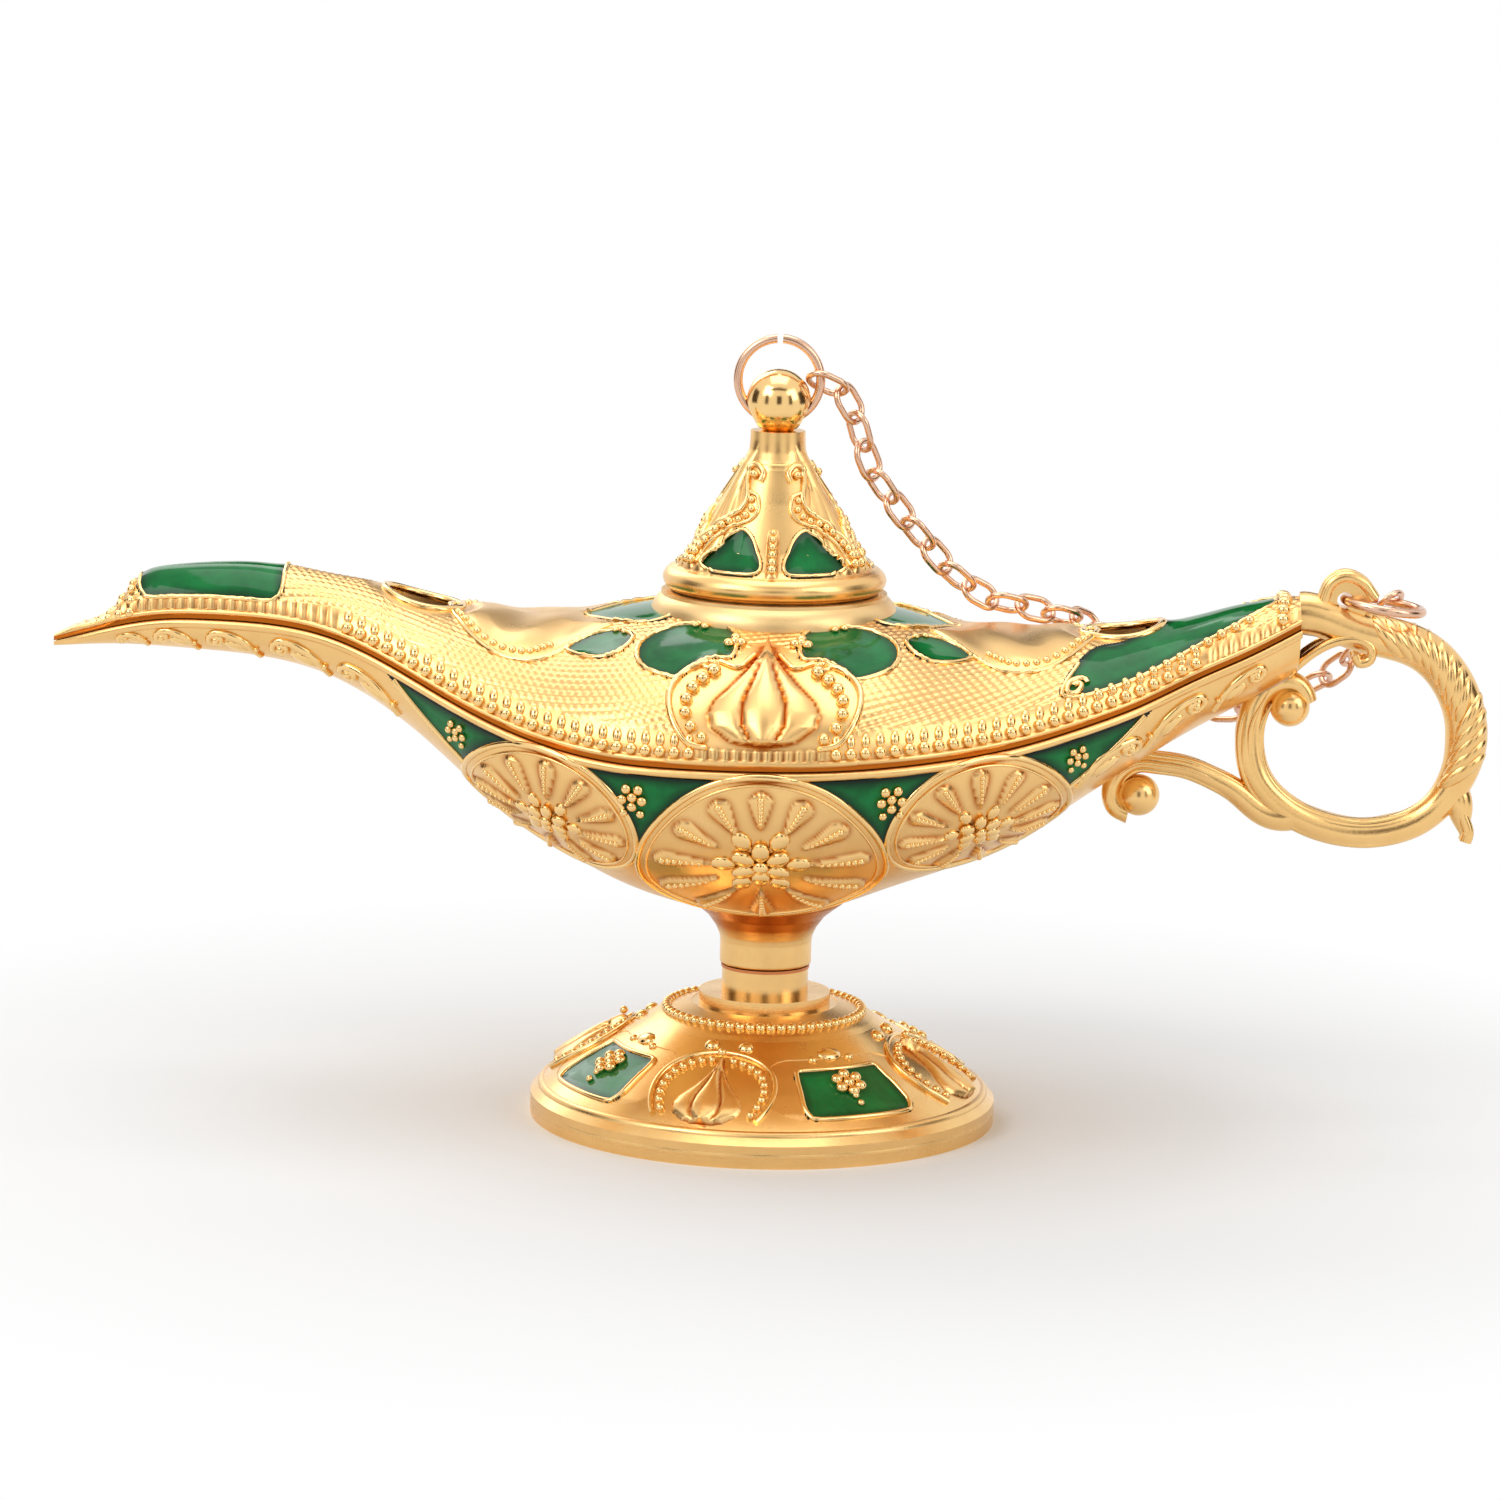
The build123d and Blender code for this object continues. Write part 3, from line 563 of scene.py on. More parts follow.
def halfSkin(upper, relief):
    # outer grid of one half, with the relief raised on it, and the closed mesh's points and faces
    holes = sorted([*body["ports"], body["throat"]]) if upper else []
    x = columnPlaces(holes)
    nx, ny, ni = len(x), body["rows"], body["insideRows"]
    w, rise, seam = halfWidthAt(x), riseAt(x, upper), seamAt(x) + (1 if upper else -1) * body["seamGap"]
    chord = np.zeros(nx)
    for middle, radius in holes:
        chord = np.maximum(chord, np.sqrt(np.clip(radius ** 2 - (x - middle) ** 2, 0, None)))
    wall = np.minimum.reduce([np.full(nx, body["wall"]), 0.45 * w, 0.45 * np.abs(rise)])
    top = np.arccos(np.clip(chord / w, 0, 1))
    turn, s = np.zeros((nx, ny)), np.zeros((nx, ny))
    for i in range(nx):
        t = np.linspace(0, top[i], 160)
        run = arcRun(w[i], rise[i], t)
        s[i] = np.linspace(0, run[-1], ny)
        turn[i] = np.interp(s[i], run, t)
    xs = np.repeat(x[:, None], ny, 1)
    base = np.stack([xs, -w[:, None] * np.cos(turn), seam[:, None] + rise[:, None] * np.sin(turn)], -1)
    e = 0.1
    w2 = halfWidthAt(x + e)[:, None] - w[:, None]
    r2 = riseAt(x + e, upper)[:, None] - rise[:, None]
    s2 = (seamAt(x + e) - seamAt(x))[:, None]
    along = np.stack([np.full_like(xs, e), -w2 * np.cos(turn), s2 + r2 * np.sin(turn)], -1)
    about = np.stack([np.zeros_like(xs), w[:, None] * np.sin(turn), rise[:, None] * np.cos(turn)], -1)
    normal = np.cross(along, about) * (1 if upper else -1)
    normal /= np.linalg.norm(normal, axis=-1, keepdims=True)
    normal[:, -1, 1] *= (chord > 0)
    height = relief(xs, s)
    fade = ease((xs + body["spoutReach"]) / 3.0)
    height *= fade
    outer = base + normal * height[..., None]
    back = np.linspace(1, 0, ni)
    inTop = np.arccos(np.clip(chord / (w - wall), 0, 1))
    inTurn = inTop[:, None] * back[None]
    inner = np.stack([np.repeat(x[:, None], ni, 1), -(w - wall)[:, None] * np.cos(inTurn),
                      seam[:, None] + (rise - np.sign(rise) * wall)[:, None] * np.sin(inTurn)], -1)
    points = np.concatenate([outer, inner], 1)
    count = ny + ni
    faces = gridFaces(nx, count, False, True).tolist()
    faces.append(list(range(count)))
    faces.append(list(range((nx - 1) * count, nx * count))[::-1])
    # painted shade in the relief's hollows and on the inner wall
    hollow = np.concatenate([hollows(height), np.full((nx, ni), 0.2)], 1)
    matt = np.concatenate([np.full((nx, ny), 0.35), np.full((nx, ni), 0.8)], 1)
    # painted shade fills the groove above the seam
    if upper:
        hollow[:, :ny] = np.maximum(hollow[:, :ny], (s < shellArt["groove"]) * 1.0)
    return dict(points=points.reshape(-1, 3), faces=faces, hollow=hollow.ravel(), matt=matt.ravel(),
                base=base, normal=normal, s=s, x=xs, outerFaces=gridFaces(nx, ny), fade=fade)


def mirrorY(points):
    return np.asarray(points) * (1, -1, 1)


# how the enamel lies: how far it laps over the cell's edge, its level and sag, its thickness, and the
# depth at which it is at its clearest
pours = dict(
    body=dict(lap=0.22, level=0.03, sag=0.10, thick=0.55, clear=1.1),
    turned=dict(lap=0.20, level=0.02, sag=0.08, thick=0.5, clear=1.0),
)


def enamelPatch(skin, field, pour):
    # green slabs poured into one family of cells
    middle = field.ravel()[skin["outerFaces"]].mean(1)
    chosen = skin["outerFaces"][middle < pour["lap"]]
    depth = np.clip(-field, 0, None)
    level = pour["level"] + 0.10 * np.exp(-depth / 0.3) - pour["sag"] * ease(depth / 2)
    top = skin["base"] + skin["normal"] * (level * skin["fade"])[..., None]
    under = skin["base"] - skin["normal"] * pour["thick"]
    clear = np.clip(depth / pour["clear"], 0, 1).ravel()
    pts, faces, (clear,) = slab(top.reshape(-1, 3), under.reshape(-1, 3), chosen, clear)
    return pts, faces, clear


def enamelPair(skin, field):
    # the same patch in front and, mirrored, at the back
    pts, faces, clear = enamelPatch(skin, field, pours["body"])
    return np.concatenate([pts, mirrorY(pts)]), np.concatenate([faces, faces + len(pts)]), np.tile(clear, 2)


def halves(name, skin):
    # the front half of the body and its mirror image
    return [meshObject(name + side, flip(skin["points"]), skin["faces"], metals["gilt"], 60,
                       hollow=skin["hollow"], matt=skin["matt"])
            for side, flip in (("_front", np.asarray), ("_back", mirrorY))]


# repeated things, with geometry nodes
def treeOf(name, inputs):
    tree = bpy.data.node_groups.new(name, "GeometryNodeTree")
    tree.interface.new_socket("Geometry", in_out="INPUT", socket_type="NodeSocketGeometry")
    for label, kind, value in inputs:
        made = tree.interface.new_socket(label, in_out="INPUT", socket_type=kind)
        if value is not None:
            made.default_value = value
    tree.interface.new_socket("Geometry", in_out="OUTPUT", socket_type="NodeSocketGeometry")
    return tree, tree.nodes.new("NodeGroupInput"), tree.nodes.new("NodeGroupOutput")


def attributeNode(tree, name, kind):
    node = tree.nodes.new("GeometryNodeInputNamedAttribute")
    node.data_type = kind
    node.inputs["Name"].default_value = name
    return node.outputs["Attribute"]


def addNode(tree, kind, sockets, **settings):
    # a node with its inputs set or linked; gives its first output
    node = tree.nodes.new(kind)
    for key, value in settings.items():
        setattr(node, key, value)
    for key, value in sockets.items():
        if isinstance(value, bpy.types.NodeSocket):
            tree.links.new(value, node.inputs[key])
        else:
            node.inputs[key].default_value = value
    return node.outputs[0]


def painted(tree, start, end, pieces):
    # makes the copies real, gives them the material and hands them out
    real = addNode(tree, "GeometryNodeRealizeInstances", {0: pieces})
    paint = addNode(tree, "GeometryNodeSetMaterial", {"Geometry": real, "Material": start.outputs["Material"]})
    tree.links.new(paint, end.inputs[0])
    return tree


def beadTree():
    # a domed bead on every point, turned to its facing and drawn out by its stretch
    tree, start, end = treeOf("beading", [
        ("Segments", "NodeSocketInt", 10), ("Rings", "NodeSocketInt", 6), ("Material", "NodeSocketMaterial", None)])
    facing, along, stretch = (attributeNode(tree, key, "FLOAT_VECTOR") for key in ("facing", "along", "stretch"))
    ball = addNode(tree, "GeometryNodeMeshUVSphere", {
        "Radius": 1.0, "Segments": start.outputs["Segments"], "Rings": start.outputs["Rings"]})
    turn = addNode(tree, "FunctionNodeAlignRotationToVector", {"Vector": facing}, axis="Z")
    lay = addNode(tree, "FunctionNodeAlignRotationToVector", {"Rotation": turn, "Vector": along},
                  axis="X", pivot_axis="Z")
    copies = addNode(tree, "GeometryNodeInstanceOnPoints", {
        "Points": start.outputs["Geometry"], "Instance": ball, "Rotation": lay, "Scale": stretch})
    return painted(tree, start, end, copies)


def wireTree():
    # a round wire along every line, as thick as its gauge
    tree, start, end = treeOf("wire work", [
        ("Sides", "NodeSocketInt", 8), ("Material", "NodeSocketMaterial", None)])
    gauge = attributeNode(tree, "gauge", "FLOAT")
    line = addNode(tree, "GeometryNodeMeshToCurve", {"Mesh": start.outputs["Geometry"]})
    thick = addNode(tree, "GeometryNodeSetCurveRadius", {"Curve": line, "Radius": gauge})
    ring = addNode(tree, "GeometryNodeCurvePrimitiveCircle", {"Resolution": start.outputs["Sides"], "Radius": 1.0})
    tube = addNode(tree, "GeometryNodeCurveToMesh", {"Curve": thick, "Profile Curve": ring, "Fill Caps": True})
    if "Scale" in tube.node.inputs:
        tree.links.new(gauge, tube.node.inputs["Scale"])
    return painted(tree, start, end, tube)


beading, wireWork = beadTree(), wireTree()


def grow(name, mesh, tree, settings, sharp=50):
    # runs a tree on a mesh and keeps the result as a plain mesh
    seed = bpy.data.objects.new(name + "_seed", mesh)
    bpy.context.scene.collection.objects.link(seed)
    modifier = seed.modifiers.new("grow", "NODES")
    modifier.node_group = tree
    for item in tree.interface.items_tree:
        if item.item_type == "SOCKET" and item.in_out == "INPUT" and item.name in settings:
            modifier[item.identifier] = settings[item.name]
    done = bpy.data.meshes.new_from_object(seed.evaluated_get(bpy.context.evaluated_depsgraph_get()))
    bpy.data.objects.remove(seed)
    done.name = name
    for layer in list(done.attributes):
        if layer.name in ("facing", "along", "stretch", "gauge"):
            done.attributes.remove(layer)
    obj = bpy.data.objects.new(name, done)
    bpy.context.scene.collection.objects.link(obj)
    tidyMesh(done, sharp)
    return obj


def beads(name, rows, material, segments=10, rings=6):
    # rows of (place, facing, along, stretch) in millimetres
    place, facing, along, stretch = (np.concatenate([np.atleast_2d(r[k]) for r in rows]) for k in range(4))
    mesh = bpy.data.meshes.new(name + "_points")
    mesh.from_pydata((place * mm).tolist(), [], [])
    for key, values in (("facing", facing), ("along", along), ("stretch", stretch * mm)):
        layer = mesh.attributes.new(key, "FLOAT_VECTOR", "POINT")
        layer.data.foreach_set("vector", np.asarray(values, np.float32).ravel())
    return grow(name, mesh, beading, {"Segments": segments, "Rings": rings, "Material": material}, 80)


def wires(name, lines, material, sides=8):
    # lines of (points, gauge) in millimetres
    points, edges, gauges, first = [], [], [], 0
    for line, gauge in lines:
        n = len(line)
        points.append(line)
        gauges.append(np.broadcast_to(gauge, n))
        edges += [(first + k, first + k + 1) for k in range(n - 1)]
        first += n
    mesh = bpy.data.meshes.new(name + "_lines")
    mesh.from_pydata((np.concatenate(points) * mm).tolist(), edges, [])
    layer = mesh.attributes.new("gauge", "FLOAT", "POINT")
    layer.data.foreach_set("value", (np.concatenate(gauges) * mm).astype(np.float32))
    return grow(name, mesh, wireWork, {"Sides": sides, "Material": material}, 60)


class Goldsmith:
    # lays beads and wires on one surface, on every face of it
    def __init__(self, surface, relief, copies):
        self.surface, self.relief, self.copies = surface, relief, copies
        self.beadRows, self.wireLines = [], []

    def lift(self, line, extra):
        line = np.asarray(line, float)
        height = np.maximum(self.relief(line[:, 0], line[:, 1]), -0.05) + extra
        return line, height

    def bead(self, line, size, extra=0.0, flat=0.8, wide=1.0, angle=0.0):
        # domes of the given sizes at points of (x, s)
        line, height = self.lift(line, extra)
        size = np.broadcast_to(size, len(line))
        for copy in self.copies:
            place, out = self.surface(line[:, 0], line[:, 1], copy)
            ahead, _ = self.surface(line[:, 0] + 0.05 * math.cos(angle),
                                    line[:, 1] + 0.05 * math.sin(angle), copy)
            along = ahead - place
            stretch = np.stack([size * wide, size, size * flat], -1)
            self.beadRows.append((place + out * height[:, None], out, along, stretch))

    def wire(self, line, gauge, extra=0.0, closed=False):
        line, height = self.lift(line, extra)
        if closed:
            line, height = np.vstack([line, line[:1]]), np.append(height, height[0])
        for copy in self.copies:
            place, out = self.surface(line[:, 0], line[:, 1], copy)
            self.wireLines.append((place + out * height[:, None], gauge))

    def finish(self, name, segments=10, rings=6):
        # one piece of all the beads and one of all the wires
        return [beads(name + "_beading", self.beadRows, metals["bright_gilt"], segments, rings),
                wires(name + "_wirework", self.wireLines, metals["bright_gilt"])]


def spaced(points, pitch):
    # points a pitch apart along a line
    line = smoothLine(points, 0.2)
    run = runAlong(line)
    at = np.linspace(0, run[-1], max(2, int(round(run[-1] / pitch)) + 1))
    return np.stack([np.interp(at, run, line[:, 0]), np.interp(at, run, line[:, 1])], -1)


def cluster(centre, size, count=6):
    # a flower of beads: one in the middle and a ring round it
    a = np.arange(count) * 2 * math.pi / count + math.pi / 2
    ring = np.stack([centre[0] + size * 1.9 * np.cos(a), centre[1] + size * 1.9 * np.sin(a)], -1)
    return np.vstack([[centre], ring])


def buildHull():
    art = hullArt
    skin = halfSkin(False, hullRelief)
    pieces = halves("lower_hull", skin)
    pts, faces, clear = enamelPair(skin, hullFields(skin["x"], skin["s"]))
    green = meshObject("bowl_enamel_cells", pts, faces, emerald, 60, depth=clear)
    smith = Goldsmith(lambda x, s, back: bodyPoint(x, s, False, back), hullRelief, (False, True))
    largest = art["rosettes"][0][2]
    for rosette in art["rosettes"]:
        cx, cs, r, fs = rosette
        a = np.linspace(0, 2 * math.pi, int(r * 14), endpoint=False)
        for inset, gauge, extra in art["rings"]:
            smith.wire(np.stack([cx + (r - inset) * np.cos(a), cs + (r - inset) * np.sin(a)], -1),
                       gauge, extra, True)
        for b, near, reach in petalsOf(rosette):
            t = np.linspace(0.22, 0.84, art["petalBeads"])
            d = near + (reach - near) * t
            row = np.stack([cx + d * np.cos(b), fs + d * np.sin(b)], -1)
            smith.bead(row, (0.16 + 0.25 * t) * (r / largest) ** 0.5, 0.0, 0.9)
        flower(smith, (cx, fs), art["flowerSize"] * (r / largest))
    for side in (-1, 1):
        for x, s, size in art["clusters"]:
            smith.bead(cluster((x * side, s), size, 5), size, 0.24, 0.9)
            pair = sided([(x - 1.5 * size, s + 3.3 * size), (x + 1.5 * size, s + 3.3 * size)], side)
            smith.bead(pair, size * 0.85, 0.24, 0.9)
        smith.wire(smoothLine(sided(art["cellEdge"], side)), 0.30, 0.08)
    for vx, vs, big in art["volutes"]:
        out = -1 if vx < 0 else 1
        stalk, (leaf, berry) = [
            [(vx - a * big * out, vs + b * big) for a, b in points]
            for points in (art["stalk"], (art["leafAt"], art["berryAt"]))]
        curl = spiral((vx, vs), -math.pi / 2, 1.1 * out, big, big * 0.42)
        smith.wire(np.vstack([smoothLine(stalk, 0.3)[:-1], curl]), 0.24 + 0.18 * big, 0.05)
        smith.bead([(vx, vs)], 0.52 * big, 0.22, 1.0)
        smith.bead([leaf], 0.95 * big, -0.1, 0.42, 1.9, math.atan2(-1.6, 2.6 * out))
        smith.bead([berry], 0.34 * big, 0.2, 1.0)
    for piece in pieces + smith.finish("bowl"):
        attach(piece, "root")
    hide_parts("lower_hull")
    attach(green, "root")
    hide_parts("bowl_enamel")


def flower(smith, centre, size):
    # six domed petals over six more, round an eye
    for k in range(6):
        a = math.pi / 6 + k * math.pi / 3
        for turn, reach, big, extra in ((math.pi / 6, 2.75, 0.95, 0.05), (0, 1.45, 0.92, 0.28)):
            p = (centre[0] + reach * size * math.cos(a + turn), centre[1] + reach * size * math.sin(a + turn))
            smith.bead([p], size * big * 0.78, extra, 0.55, 1.35, a + turn)
    smith.bead([centre], size * 0.62, 0.42, 0.8)


def buildShell():
    art = shellArt
    skin = halfSkin(True, shellRelief)
    pieces = halves("upper_shell", skin)
    for name, field in shellFields(skin["x"], skin["s"]).items():
        pts, faces, clear = enamelPair(skin, field)
        green = meshObject(name + "_enamel_cells", pts, faces, emerald, 60, depth=clear)
        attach(green, "root")
        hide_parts(name + "_enamel")
    smith = Goldsmith(lambda x, s, back: bodyPoint(x, s, True, back), shellRelief, (False, True))
    # border band above the seam: a bead with a drop above it
    xs = np.arange(*art["bandReach"], art["pitch"])
    for side in (-1, 1):
        for up, *how in art["bandRows"]:
            smith.bead(np.stack([xs * side, np.full(len(xs), art["groove"] + art["lip"] + up)], -1), *how)
    for side in (-1, 1):
        for cell in (kidney, almond, shoulder[:4]):
            shut = len(cell) > 4
            smith.wire(smoothLine(sided(cell, side), 0.35, shut), 0.27, 0.06, shut)
        smith.wire(smoothLine(sided(art["leafEdge"], side)), 0.30, 0.02)
        smith.bead(spaced(sided(art["leafBeads"], side), art["leafBeadPitch"]), 0.40, 0.04, 0.9)
        smith.wire(smoothLine(sided(art["frameEdge"], side)), 0.34, 0.14)
        line = spaced(sided(art["onionBeads"], side), art["onionBeadPitch"])
        smith.bead(line, np.linspace(0.58, 0.72, len(line)), 0.30, 0.95)
        smith.wire(smoothLine(sided(art["brow"], side), 0.3), 0.26, 0.2)
        smith.wire(spiral(*sided([art["browCurl"]], side), math.pi / 2, -1.1 * side, 0.9, 0.3), 0.24, 0.12)
        for points, *how in art["loose"]:
            smith.bead(sided(points, side), *how)
    # spout mouth and tail end
    for x, count, size in art["mouthRows"]:
        smith.bead(np.stack([np.full(count, x), np.linspace(1.0, shellTop(x) - 0.3, count)], -1), size, 0.0, 0.8)
    smith.bead(art["tailEnd"], 0.66, 0.15, 0.95)
    middle, half, low, corner = art["spoutSaddle"]
    edge = [(middle + half, 7.6), (middle + half, low + corner), (middle + half - 0.5, low + 0.5),
            (middle + half - corner, low), (middle, low), (middle - half + corner, low),
            (middle - half + 0.5, low + 0.5), (middle - half, low + corner), (middle - half, 6.2)]
    smith.wire(smoothLine(edge), 0.24, 0.04)
    smith.wire(smoothLine(art["tailSaddle"][-1:] + art["tailSaddle"][:8]), 0.24, 0.05)
    smith.wire(spiral(art["tailCurl"], 0.0, 1.4, 1.15, 0.3), 0.30, 0.16)
    xs = np.arange(*art["tailRow"])
    smith.bead(np.stack([xs, np.interp(xs, [31, 40, 47], [2.6, 2.9, 3.9])], -1), 0.52, 0.2, 0.95)
    rim = art["portRing"]
    for port, radius in body["ports"]:
        a = np.linspace(0, 2 * math.pi, rim["steps"], endpoint=False)
        px, py = port + (radius + rim["out"]) * np.cos(a), (radius + rim["out"]) * np.sin(a)
        pz = seamAt(px) + riseAt(px, True) * np.sqrt(1 - (py / halfWidthAt(px)) ** 2)
        ring = np.stack([px, py, pz + rim["up"]], -1)
        smith.wireLines.append((np.vstack([ring, ring[:1]]), rim["gauge"]))
    for piece in pieces + smith.finish("crown", 12, 7):
        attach(piece, "root")
    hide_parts("upper_shell")


# turned pieces with relief: lid and foot
def turnedPoint(profile, phi, t, copyTurn=0.0):
    # place and outward direction at the angle phi from the front and the distance t up the profile
    line = np.asarray(profile, float)
    run = runAlong(line)
    r, z = np.interp(t, run, line[:, 0]), np.interp(t, run, line[:, 1])
    e = 0.15
    dr = np.interp(t + e, run, line[:, 0]) - np.interp(t - e, run, line[:, 0])
    dz = np.interp(t + e, run, line[:, 1]) - np.interp(t - e, run, line[:, 1])
    size = np.hypot(dr, dz) + 1e-9
    a = phi + copyTurn
    out = np.stack([np.sin(a) * dz / size, -np.cos(a) * dz / size, -dr / size + 0 * a], -1)
    return np.stack([r * np.sin(a), -r * np.cos(a), z + 0 * a], -1), out


def radiusAt(profile, t):
    line = np.asarray(profile, float)
    return np.interp(t, runAlong(line), line[:, 0])


def atWidth(profile, points, middle=0.0):
    # angle and distance up the profile, for points given as width from a middle and distance up
    line = np.array(points, float)
    return np.stack([line[:, 0] / radiusAt(profile, line[:, 1]) + middle, line[:, 1]], -1)


def turnedSkin(profile, relief, columns, rows, inset=0.55):
    line = np.asarray(profile, float)
    total = np.hypot(*np.diff(line, axis=0).T).sum()
    phi = np.linspace(-math.pi, math.pi, columns, endpoint=False)
    t = np.linspace(0, total, rows)
    phis, ts = np.meshgrid(phi, t, indexing="ij")
    base, normal = turnedPoint(profile, phis, ts)
    height = relief(phis, ts)
    outer = base + normal * height[..., None]
    inner = (base - normal * inset)[:, ::-1][:, :: max(1, rows // 12)]
    points = np.concatenate([outer, inner], 1)
    count = points.shape[1]
    # painted shade in the relief's hollows and on the inner face
    hollow = np.concatenate([hollows(height), np.full(inner.shape[:2], 0.5)], 1)
    return dict(points=points.reshape(-1, 3), faces=gridFaces(columns, count, True, True),
                hollow=hollow.ravel(), matt=np.full(columns * count, 0.3), base=base, normal=normal,
                x=phis, s=ts, outerFaces=gridFaces(columns, rows, True, False), fade=np.ones_like(phis))


def turnedEnamel(name, skin, field, rider, node):
    pts, faces, clear = enamelPatch(skin, field, pours["turned"])
    green = meshObject(name, pts, faces, emerald, 60, depth=clear)
    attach(green, rider)
    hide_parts(node)


lidArt = dict(
    profile=((10.1, 52.45), (10.6, 52.7), (10.85, 53.2), (10.9, 53.6), (10.7, 54.1), (10.3, 54.5), (9.75, 54.75),
             (9.3, 55.1), (8.0, 56.8), (6.7, 58.9), (5.2, 61.3), (3.75, 63.8), (3.05, 65.1), (2.75, 66.1),
             (2.68, 67.0), (2.66, 67.9)),
    sectors=3, columns=430, rows=88, sink=0.38,
    # ridges beside the sector's edge: distance from it, half width and height
    ridges=((0.0, 0.9, 0.50), (1.7, 0.8, 0.42), (3.1, 0.6, 0.30)),
    # outline of one green cell and the scrolls beside it: width from the sector's middle, distance up
    cell=((1.1, 4.6), (1.5, 6.2), (2.1, 7.7), (3.1, 8.5), (4.3, 7.7), (5.8, 6.2), (7.3, 4.9), (7.6, 4.1),
          (6.6, 3.7), (4.2, 3.6), (1.8, 3.7)),
    outerScroll=((1.5, 13.6), (1.2, 14.5), (1.9, 15.3), (2.7, 14.9), (2.9, 13.4), (2.8, 11.6), (3.9, 10.0),
                 (5.9, 8.5), (8.0, 6.6), (9.2, 5.0)),
    innerScroll=((2.5, 12.4), (1.7, 12.0), (1.6, 10.6), (2.4, 9.5), (4.2, 8.6), (6.1, 7.0), (7.9, 5.3),
                 (8.3, 4.2)),
    beadRow=((2.3, 11.6), (2.3, 10.6), (3.1, 9.7), (4.9, 8.7), (6.8, 7.2), (8.4, 5.5), (8.9, 4.3)),
    beadPitch=0.98, berry=(2.05, 14.2),
)


def lidSector(phi):
    whole = 2 * math.pi / lidArt["sectors"]
    return (phi + whole / 2) % whole - whole / 2


def lidField(phi, t):
    art = lidArt
    return insidePolygon(np.abs(lidSector(phi)) * radiusAt(art["profile"], t), t, art["cell"])


def lidRelief(phi, t):
    art = lidArt
    a = lidSector(phi)
    r = radiusAt(art["profile"], t)
    q = np.abs(a) * r
    cone = ease((t - 3.2) / 0.6) * ease((17.6 - t) / 2.6)
    h = roundRidge(q, 0.50, 0.40) * ease((t - 3.0) / 0.6) * ease((8.6 - t) / 1.5)
    edge = np.abs(np.abs(a) - math.pi / art["sectors"])
    for place, wide, tall in art["ridges"]:
        h = np.maximum(h, roundRidge(edge * r - place * ease((15 - t) / 9), wide, tall) * cone)
    field = lidField(phi, t)
    return np.where(field < 0, -art["sink"], h)


def buildLid():
    art = lidArt
    profile = art["profile"]
    skin = turnedSkin(profile, lidRelief, art["columns"], art["rows"])
    cone = meshObject("lid_cone", skin["points"], skin["faces"], metals["gilt"], 60,
                      hollow=skin["hollow"], matt=skin["matt"])
    turnedEnamel("lid_enamel_cells", skin, lidField(skin["x"], skin["s"]), "lid", "lid_enamel")
    whole = 2 * math.pi / art["sectors"]
    smith = Goldsmith(lambda p, t, k: turnedPoint(profile, p, t, k * whole), lidRelief, range(art["sectors"]))
    for side in (-1, 1):
        smith.wire(atWidth(profile, smoothLine(sided(art["cell"], side), 0.3, True)), 0.20, 0.05, True)
        smith.wire(atWidth(profile, smoothLine(sided(art["outerScroll"], side), 0.25)), 0.32, 0.10)
        smith.wire(atWidth(profile, smoothLine(sided(art["innerScroll"], side), 0.25)), 0.22, 0.08)
        smith.bead(atWidth(profile, sided([art["berry"]], side)), 0.42, 0.3, 1.0)
        line = spaced(sided(art["beadRow"], side), art["beadPitch"])
        smith.bead(atWidth(profile, line), np.linspace(0.36, 0.52, len(line)), 0.14, 0.9)
    t = np.linspace(4.0, 8.2, 6)
    smith.bead(np.stack([np.zeros(6), t], -1), np.linspace(0.52, 0.34, 6), 0.1, 0.9)
    for piece in [cone] + smith.finish("lid"):
        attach(piece, "lid")


footArt = dict(
    profile=((22.3, 0.15), (22.8, 0.5), (22.95, 1.1), (22.85, 1.7), (22.4, 2.3), (21.7, 3.2), (19.9, 4.7),
             (17.9, 6.0), (15.7, 7.25), (13.5, 8.4), (12.0, 9.3), (10.7, 10.2), (9.0, 10.9), (7.2, 11.35)),
    sectors=4, turn=math.radians(-14), columns=760, rows=110, onionSize=0.66, onionFoot=4.6, sink=0.38,
    # green cell: middle, half height, half width at t = 8, taper and corner
    fieldMiddle=8.6, fieldTall=2.3, fieldWide=4.4, taper=0.22, corner=1.0,
    lowCorners=((5.55, 7.6), (5.75, 6.4), (5.5, 5.6), (4.8, 5.3), (0, 5.3)),
    highCorners=((0, 11.9), (3.8, 11.9), (4.4, 11.6), (4.7, 10.9)),
    rowAt=18.0, rowCount=15,
)


def footSector(phi):
    whole = 2 * math.pi / footArt["sectors"]
    return (phi - footArt["turn"] + whole / 2) % whole - whole / 2


def footField(phi, t):
    art = footArt
    a = np.abs(footSector(phi)) - math.pi / 4
    q = a * radiusAt(art["profile"], t)
    dq = np.abs(q) - art["fieldWide"] + art["taper"] * (t - 8)
    dt = np.abs(t - art["fieldMiddle"]) - art["fieldTall"]
    outside = np.hypot(np.maximum(dq, 0), np.maximum(dt, 0))
    return outside + np.minimum(np.maximum(dq, dt), 0) - art["corner"]


def footRelief(phi, t):
    art = footArt
    q = footSector(phi) * radiusAt(art["profile"], t)
    dome = onionShape(q, t - art["onionFoot"], art["onionSize"])
    h = -0.15 * ease((6.4 - np.hypot(q, (t - 8.3) * 0.95)) / 0.3)
    h = np.maximum(h, np.where(dome > 0.02, dome * 1.05, -1))
    h = np.maximum(h, roundRidge(t - 3.5, 0.45, 0.28))
    return np.where(footField(phi, t) < 0, -art["sink"], h)


